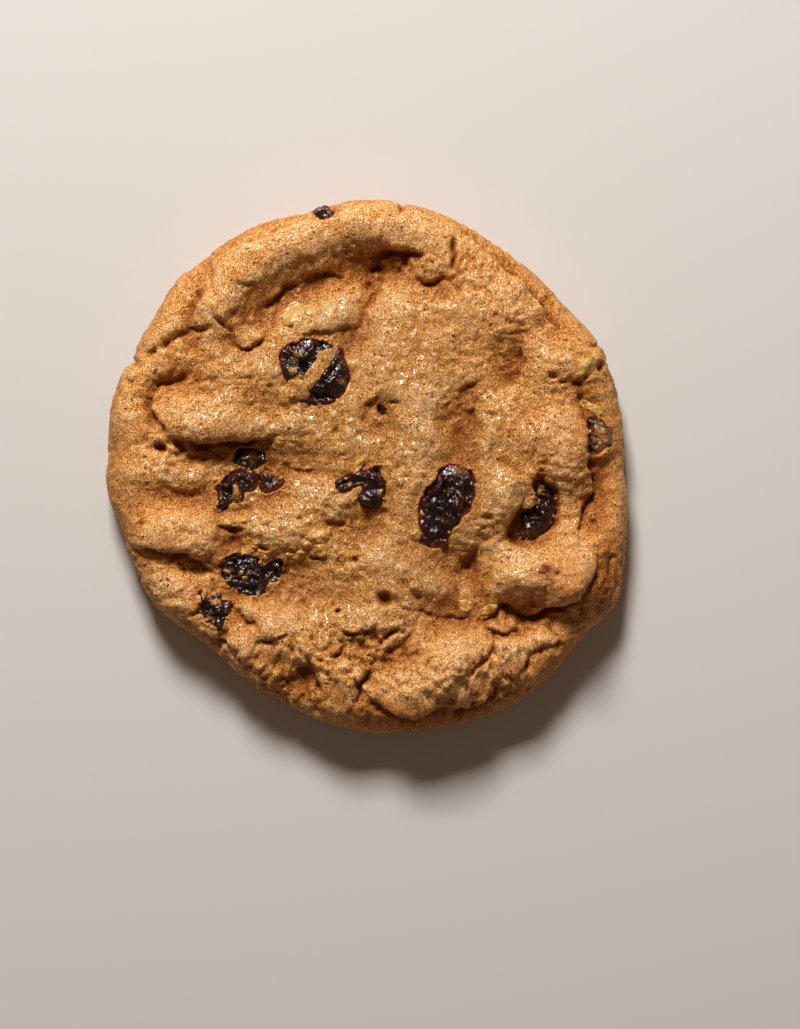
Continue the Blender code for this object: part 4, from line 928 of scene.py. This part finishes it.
# How red each raisin's thin places are, a painted glow of light through the skin, and how
# finely its mesh is cut. Past 1, the whole skin is reddish.
REDNESS = {
    "raisin_upper": (0.7, 6), "raisin_left": (0.5, 5), "raisin_left_tucked": (0.1, 4),
    "raisin_left_small": (1.15, 5), "raisin_middle": (0.5, 5), "raisin_large": (1.0, 6),
    "raisin_in_hole": (0.6, 5), "raisin_right_edge": (0.7, 5), "raisin_lower_left": (0.3, 6),
    "raisin_star": (0.4, 5), "raisin_top_edge": (0.4, 4), "raisin_peeking": (1.0, 5),
}  # fmt: skip


def mouth_reach(points, angle):
    """How far out a raisin's mouth reaches from the raisin's middle, by angle."""
    slots = 96
    reach = np.zeros(slots)
    for (ax, ay), (bx, by) in zip(points, (*points[1:], points[0])):
        for share in np.linspace(0.0, 1.0, 24):
            x, y = ax + share * (bx - ax), ay + share * (by - ay)
            spot = int(slots * (math.atan2(y, x) / (2.0 * math.pi) + 0.5)) % slots
            reach[spot] = max(reach[spot], math.hypot(x, y))
    turns = (np.arange(slots) + 0.5) / slots * 2.0 * math.pi - math.pi
    reach = np.interp(turns, turns[reach > 0.0], reach[reach > 0.0], period=2.0 * math.pi)
    return np.interp(angle, turns, reach, period=2.0 * math.pi)


EDGE_DROP, EDGE_WIDTH = 0.35, 0.4  # how far and how fast the skin curves down at its mouth, in mm
UNDER_SLOPE, UNDER_REACH = 1.3, 1.4  # the slope of the skin outside the mouth, and how far it runs
FLATNESS = 1.8  # how far a raisin's top is flattened
# Wrinkles: size and height, in mm. The crinkles run along the cookie's Y.
BROAD_WRINKLE, NARROW_WRINKLE, CRINKLE, SKIN_GRAIN = (3.4, 0.9), (1.5, 0.55), (0.75, 0.34), (0.45, 0.05)
CRINKLE_STRETCH = (1.0, 0.45, 1.0)


def raisin_shape(node, cuts, shift):
    """The frame's raisin, filled out to its mouth, with its skin drawn into folds."""
    tree = mesh_tree(node)
    middle = Vector(middle_of(node)) * MM
    bm = bmesh.new()
    bmesh.ops.create_icosphere(bm, subdivisions=cuts, radius=1.0)
    ball = np.array([vert.co for vert in bm.verts])
    angle = np.arctan2(ball[:, 1], ball[:, 0])
    reach = np.array([tree.ray_cast(middle, Vector(out))[3] for out in ball]) / MM
    level = [tree.ray_cast(middle, Vector((math.cos(turn), math.sin(turn), 0.0)))[3] / MM
             for turn in angle]
    stretch = (mouth_reach(MOUTHS[node], angle) + OVERLAP) / np.array(level)
    body = ball * reach[:, None]
    body[:, :2] *= np.clip(stretch, 0.9, 1.5)[:, None]
    half = body[:, 2].max()
    flat_top = half * (1.0 - (1.0 - np.clip(body[:, 2] / half, 0.0, 1.0)) ** FLATNESS)
    body[:, 2] = np.where(body[:, 2] > 0.0, flat_top, body[:, 2])
    x, y = body[:, 0], body[:, 1]
    inside = mouth_inside(x, y, MOUTHS[node])[0]
    lift = -EDGE_DROP * np.exp(-np.maximum(inside, 0.0) / EDGE_WIDTH)
    lift = lift - UNDER_SLOPE * np.clip(-inside, 0.0, UNDER_REACH)
    for height, wide, *points in FOLDS[node]:
        lift += height * np.exp(-((line_place(x, y, points)[0] / wide) ** 2))
    body[:, 2] += lift * np.clip(3.0 * ball[:, 2], 0.0, 1.0)
    for vert, place in zip(bm.verts, body):
        vert.co = middle + Vector(place) * MM
    bmesh.ops.smooth_vert(bm, verts=bm.verts, factor=0.5, use_axis_x=True, use_axis_y=True,
                          use_axis_z=True)
    bm.normal_update()
    spots = body * MM
    broad = np.abs(unevenness(spots, BROAD_WRINKLE[0] * MM, 2, 20.0 + shift))
    narrow = np.abs(unevenness(spots, NARROW_WRINKLE[0] * MM, 2, 30.0 + shift))
    crinkle = np.abs(unevenness(spots * CRINKLE_STRETCH, CRINKLE[0] * MM, 2, 60.0 + shift))
    fine = unevenness(spots, SKIN_GRAIN[0] * MM, 2, 40.0 + shift)
    patchy = np.clip(0.6 + 1.4 * unevenness(spots, 3.0 * MM, 1, 50.0 + shift), 0.15, 1.2)
    cap = 0.45
    move = BROAD_WRINKLE[1] * (np.minimum(broad, cap) - 0.22)
    move += NARROW_WRINKLE[1] * patchy * (0.2 - np.minimum(narrow, cap))
    move += CRINKLE[1] * (0.2 - np.minimum(crinkle, cap)) + SKIN_GRAIN[1] * fine
    for vert, push in zip(bm.verts, move * MM):
        vert.co += vert.normal * push
    # Where the skin is thin, near the mouth and on fold crests; the material paints a red glow there.
    thin = np.exp(-np.abs(inside) / 0.55) + np.clip(1.6 * (0.16 - narrow), 0.0, 0.25)
    smear = np.zeros(len(ball))
    for name, *spot, share in SMEARS:
        if name == node:
            smear = np.maximum(smear, share * hill(x, y, *spot, 3.0))
    smear = smear + 0.25 * fine * smear
    return bm, {"thin": np.clip(thin, 0.0, 1.0), "smear": np.clip(smear, 0.0, 1.0)}


SKIN_BLACK = (0.007, 0.003, 0.0035)
SKIN_BROWN = (0.035, 0.005, 0.003)
# Red of thin flesh, partly a painted glow of light shining through the skin.
SKIN_GLOW = (0.20, 0.016, 0.006)
SKIN_BLOOM = (0.20, 0.13, 0.12)


def make_raisin_material():
    """A shiny, nearly black skin that is red where it is thin, with a painted glow of light through it
    there, dusty in places, with some crust.
    """
    material, tree, shader, place = new_material("raisin_skin")

    broad = cloud(tree, place, 420.0, 3.0, 0.6)
    dust = cloud(tree, place, 900.0, 4.0, 0.6)
    fine = cloud(tree, place, 2600.0, 3.0, 0.6)
    # Painted glow: the thin places are mixed towards red, as if light shone through the skin.
    glow = work_out(tree, "MULTIPLY", attribute(tree, "thin"), rescale(tree, broad, 0.30, 0.65))
    brown = rescale(tree, broad, 0.35, 0.75, 0.0, 0.5)
    colour = mix_colours(tree, brown, SKIN_BLACK, SKIN_BROWN)
    colour = mix_colours(tree, glow, colour, SKIN_GLOW)
    bloom = work_out(tree, "MULTIPLY", rescale(tree, dust, 0.50, 0.62), rescale(tree, fine, 0.40, 0.60))
    colour = mix_colours(tree, work_out(tree, "MULTIPLY", bloom, 0.16), colour, SKIN_BLOOM)
    broken = work_out(tree, "ADD", work_out(tree, "MULTIPLY", dust, 0.9), fine)
    smear = rescale(tree, work_out(tree, "ADD", attribute(tree, "smear"), broken), 1.02, 2.0)
    colour = mix_colours(tree, smear, colour, add_crust(tree, place).outputs["Colour"])
    add_bump(tree, shader, fine, 0.00016)
    rough = work_out(tree, "ADD", rescale(tree, bloom, 0.0, 1.0, 0.16, 0.45),
                     work_out(tree, "MULTIPLY", smear, 0.3))
    tree.links.new(colour, shader.inputs["Base Color"])
    tree.links.new(rough, shader.inputs["Roughness"])
    tree.links.new(rescale(tree, smear, 0.0, 0.6, 0.35, 0.0), shader.inputs["Coat Weight"])
    shader.inputs["Coat Roughness"].default_value = 0.05
    shader.inputs["Specular IOR Level"].default_value = 0.5
    return material


raisin_material = make_raisin_material()
raisin_surfaces = []
for number, (node, (redness, cuts)) in enumerate(REDNESS.items()):
    raisin_mesh, skin_values = raisin_shape(node, cuts, 3.0 * number)
    red_all_over = max(0.0, redness - 1.0)
    skin_values["thin"] = np.clip(redness * (skin_values["thin"] + red_all_over), 0.0, 1.0)
    raisin_surfaces.append(BVHTree.FromBMesh(raisin_mesh))
    raisin = add_piece("skin_" + node, raisin_mesh, raisin_material, skin_values)
    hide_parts(node)

# ---- The fruit bits ------------------------------------------------------------------------
# Small pieces and strings of pale candied fruit, soft and half clear, that came up to the top
# of the dough as it baked. They are pressed into it.

# Places on the top: x, y, half length, half width, half height, turn in degrees. Millimetres.
FRUIT_BITS = (
    (-11.2, 23.9, 2.3, 1.4, 0.22, 50), (-8.3, 24.3, 1.6, 1.0, 0.18, -10), (-13.7, 3.6, 0.9, 1.1, 0.26, 0),
    (-7.0, -11.0, 1.3, 1.1, 0.5, 20), (-7.0, -13.1, 1.3, 1.0, 0.5, -20),
    (-11.6, -13.0, 1.3, 0.7, 0.4, 60), (-10.4, -13.9, 1.1, 0.7, 0.4, 20),
    (-9.2, -12.2, 1.1, 0.6, 0.35, -30), (19.0, -22.4, 1.6, 0.7, 0.4, 25),
    (33.9, 15.4, 2.2, 0.75, 0.12, 48), (34.4, 9.7, 1.2, 0.7, 0.28, -28), (36.1, 8.7, 1.5, 0.7, 0.28, -30),
    (-21.2, -8.7, 1.3, 0.4, 0.24, 8), (-19.2, -8.4, 1.5, 0.5, 0.24, 6), (-1.1, 0.25, 1.4, 0.65, 0.6, 62),
    (7.9, -10.7, 0.9, 0.8, 0.45, 40), (-18.3, -13.0, 1.3, 0.7, 0.35, 15), (15.5, -21.9, 1.3, 1.0, 0.3, 0),
)  # fmt: skip


def ground(x, y):
    """The height of the dough, or of the raisin that stands out of it."""
    start = Vector((x, y, 0.03))
    down = Vector((0.0, 0.0, -1.0))
    hits = [surface.ray_cast(start, down)[0] for surface in (dough_surface, *raisin_surfaces)]
    return max((hit.z for hit in hits if hit is not None), default=None)


# How fine and how strong a lump's unevenness is, and how far a lump bends with the ground.
COARSE_UNEVEN, FINE_UNEVEN = (1.4, 0.30), (4.0, 0.14)
GROUND_STEP = 0.8 * MM


def add_lump(bm, place, sizes, turn, cuts, sink, shift):
    """An uneven lump that lies on the ground under it. It sinks in by a share of its height."""
    long, wide, high = sizes
    lump = bmesh.ops.create_icosphere(bm, subdivisions=cuts, radius=1.0)["verts"]
    middle = ground(place[0] * MM, place[1] * MM)
    if middle is None:
        bmesh.ops.delete(bm, geom=lump, context="VERTS")
        return
    c, s = math.cos(math.radians(turn)), math.sin(math.radians(turn))
    for vert in lump:
        out = vert.co.copy()
        coarse = noise.noise(out * COARSE_UNEVEN[0] + Vector((shift, 0.0, 0.0)))
        out *= 1.0 + COARSE_UNEVEN[1] * coarse
        fine = noise.noise(out * FINE_UNEVEN[0] + Vector((0.0, shift, 0.0)))
        out *= 1.0 + FINE_UNEVEN[1] * fine
        x = place[0] + out.x * long * c - out.y * wide * s
        y = place[1] + out.x * long * s + out.y * wide * c
        under = ground(x * MM, y * MM)
        if under is None:
            under = middle
        under = min(max(under, middle - GROUND_STEP), middle + GROUND_STEP)
        vert.co = Vector((x * MM, y * MM, under + (out.z - sink) * high * MM))


FRUIT_AMBER = (0.52, 0.245, 0.040)
FRUIT_GOLD = (0.67, 0.375, 0.100)
FRUIT_PALE = (0.84, 0.57, 0.22)


def make_fruit_material():
    """Moist candied fruit that lets some light through."""
    material, tree, shader, place = new_material("fruit_bit")
    fine = cloud(tree, place, 3000.0, 2.0, 0.5)
    gold = rescale(tree, cloud(tree, place, 900.0, 3.0, 0.5), 0.35, 0.65)
    pale = rescale(tree, fine, 0.56, 0.68)
    colour = mix_colours(tree, gold, FRUIT_AMBER, FRUIT_GOLD)
    colour = mix_colours(tree, pale, colour, FRUIT_PALE)
    add_bump(tree, shader, fine, 0.00016)
    tree.links.new(colour, shader.inputs["Base Color"])
    shader.inputs["Roughness"].default_value = 0.42
    shader.inputs["Coat Weight"].default_value = 0.35
    shader.inputs["Coat Roughness"].default_value = 0.18
    shader.inputs["Subsurface Weight"].default_value = 0.3
    shader.inputs["Subsurface Scale"].default_value = 0.0015
    shader.inputs["Subsurface Radius"].default_value = (1.0, 0.55, 0.2)
    return material


fruit_mesh = bmesh.new()
for number, (x, y, long, wide, high, turn) in enumerate(FRUIT_BITS):
    add_lump(fruit_mesh, (x, y), (long, wide, high), turn, 4, 0.0, 5.0 * number)
add_piece("fruit_bits", fruit_mesh, make_fruit_material())

# ---- The crumbs ----------------------------------------------------------------------------
# Bits of the same dough that stuck to the raisins, and small crumbs that broke off the crust as
# it cracked and baked on where they fell, most of them out on the rim and around the raisins.

# Bits on the raisins: x, y, half length, half width, half height, turn in degrees. Millimetres.
STUCK_BITS = (
    (-7.9, 14.6, 5.2, 1.25, 0.55, 52), (-10.6, 11.9, 2.4, 1.8, 0.8, 40), (-6.3, 17.0, 1.5, 1.2, 0.45, 50),
    (-23.4, -21.2, 0.75, 0.62, 0.6, 10), (-19.4, -16.5, 0.36, 0.34, 0.35, 0),
    (-18.9, -17.5, 0.52, 0.45, 0.45, 0), (-21.1, -17.3, 0.42, 0.25, 0.3, 70),
    (-19.05, 0.4, 0.34, 0.32, 0.4, 0), (-23.7, -2.25, 0.34, 0.3, 0.4, 0),
    (8.75, -7.5, 0.28, 0.2, 0.25, 20), (1.6, 7.5, 0.4, 0.3, 0.3, 0), (-2.5, -2.8, 0.45, 0.3, 0.35, 60),
    (-20.3, -4.2, 1.3, 0.5, 0.45, 95), (-21.4, -0.4, 1.0, 0.5, 0.55, 10), (26.2, -4.9, 0.5, 0.35, 0.4, 0),
    (-25.1, -19.8, 0.5, 0.9, 0.5, 0), (-22.6, -14.7, 0.5, 0.6, 0.5, 0), (-15.7, -14.4, 0.6, 0.5, 0.5, 0),
    (-24.1, -25.0, 0.5, 0.35, 0.35, -30), (2.2, -4.1, 0.16, 0.35, 0.2, -20),
)  # fmt: skip


def on_raisin(x, y):
    """Whether a place is on a raisin or at its edge."""
    for node, points in MOUTHS.items():
        middle = middle_of(node)
        if mouth_inside(np.array(x - middle[0]), np.array(y - middle[1]), points)[0] > -0.5:
            return True
    return False


CRUMBS = 260
CRUMB_SPREAD, CRUMB_CROWDING = 39.5, 0.42  # how far out crumbs lie, in mm; less crowds the rim
CRUMB_SINK = 0.1  # share of its half height that a crumb sinks in by

crumb_mesh = bmesh.new()
for number, (x, y, long, wide, high, turn) in enumerate(STUCK_BITS):
    cuts = 4 if long > 1.0 else 3
    add_lump(crumb_mesh, (x, y), (long, wide, high), turn, cuts, CRUMB_SINK, 7.0 + number)
chance = random.Random(11)
for number in range(CRUMBS):
    heading = chance.uniform(0.0, 2.0 * math.pi)
    out = CRUMB_SPREAD * chance.uniform(0.0, 1.0) ** CRUMB_CROWDING
    size = chance.uniform(0.14, 0.30) + 0.22 * chance.random() ** 4
    sizes = (size, size * chance.uniform(0.6, 1.0), size * chance.uniform(0.5, 0.9))
    turn = chance.uniform(0.0, 180.0)
    x, y = out * math.cos(heading), out * math.sin(heading)
    if not on_raisin(x, y):
        add_lump(crumb_mesh, (x, y), sizes, turn, 2, CRUMB_SINK, 40.0 + number)
for node, points in MOUTHS.items():
    middle = middle_of(node)
    for x, y in chance.sample(points, len(points) // 2):
        size = chance.uniform(0.16, 0.40)
        reach = chance.uniform(0.92, 1.08)
        place = (middle[0] + reach * x, middle[1] + reach * y)
        turn = chance.uniform(0.0, 180.0)
        sizes = (size, 0.75 * size, 0.7 * size)
        add_lump(crumb_mesh, place, sizes, turn, 2, CRUMB_SINK, 300.0 + x)
add_piece("crumbs", crumb_mesh, dough_material)

# ---- The floor, the lights and the camera --------------------------------------------------
# A plain pale table. One soft lamp stands behind the cookie, a little to its left. A faint one in
# front, on the right, and a warm room fill the shadows. The camera looks straight down.

floor_mesh = bpy.data.meshes.new("floor")
bm = bmesh.new()
bmesh.ops.create_grid(bm, x_segments=1, y_segments=1, size=1.5)
bm.to_mesh(floor_mesh)
bm.free()
floor = bpy.data.objects.new("floor", floor_mesh)
bpy.context.scene.collection.objects.link(floor)
floor_material, _tree, floor_shader, _place = new_material("pale_floor")
floor_shader.inputs["Base Color"].default_value = (0.66, 0.63, 0.59, 1.0)
floor_shader.inputs["Roughness"].default_value = 0.8
floor_mesh.materials.append(floor_material)
floor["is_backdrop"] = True


def add_lamp(name, heading, height, distance, size, power):
    """A square soft lamp that faces the cookie. The heading turns left from +X, in degrees."""
    lamp = bpy.data.lights.new(name, "AREA")
    lamp.size = size
    lamp.energy = power
    a, e = math.radians(heading), math.radians(height)
    away = Vector((math.cos(a) * math.cos(e), math.sin(a) * math.cos(e), math.sin(e)))
    stand = bpy.data.objects.new(name, lamp)
    stand.location = away * distance
    stand.rotation_euler = away.to_track_quat("Z", "Y").to_euler()
    bpy.context.scene.collection.objects.link(stand)


add_lamp("key_lamp", 101.0, 43.0, 0.70, 0.18, 6.35)
add_lamp("fill_lamp", -50.0, 55.0, 0.90, 0.60, 0.25)
world = bpy.data.worlds.new("room")
world.use_nodes = True
world.node_tree.nodes["Background"].inputs["Color"].default_value = (1.0, 0.65, 0.42, 1.0)
world.node_tree.nodes["Background"].inputs["Strength"].default_value = 0.12
bpy.context.scene.world = world
bpy.context.scene.view_settings.view_transform = "Standard"
bpy.context.scene.view_settings.gamma = 0.90

camera = bpy.data.objects.new("camera", bpy.data.cameras.new("camera"))
camera.data.lens = 100.0
camera.data.sensor_width = 36.0
camera.data.clip_start = 0.01
camera.location = (5.29 * MM, -7.5 * MM, 0.4562)
bpy.context.scene.collection.objects.link(camera)
bpy.context.scene.camera = camera

low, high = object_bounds()
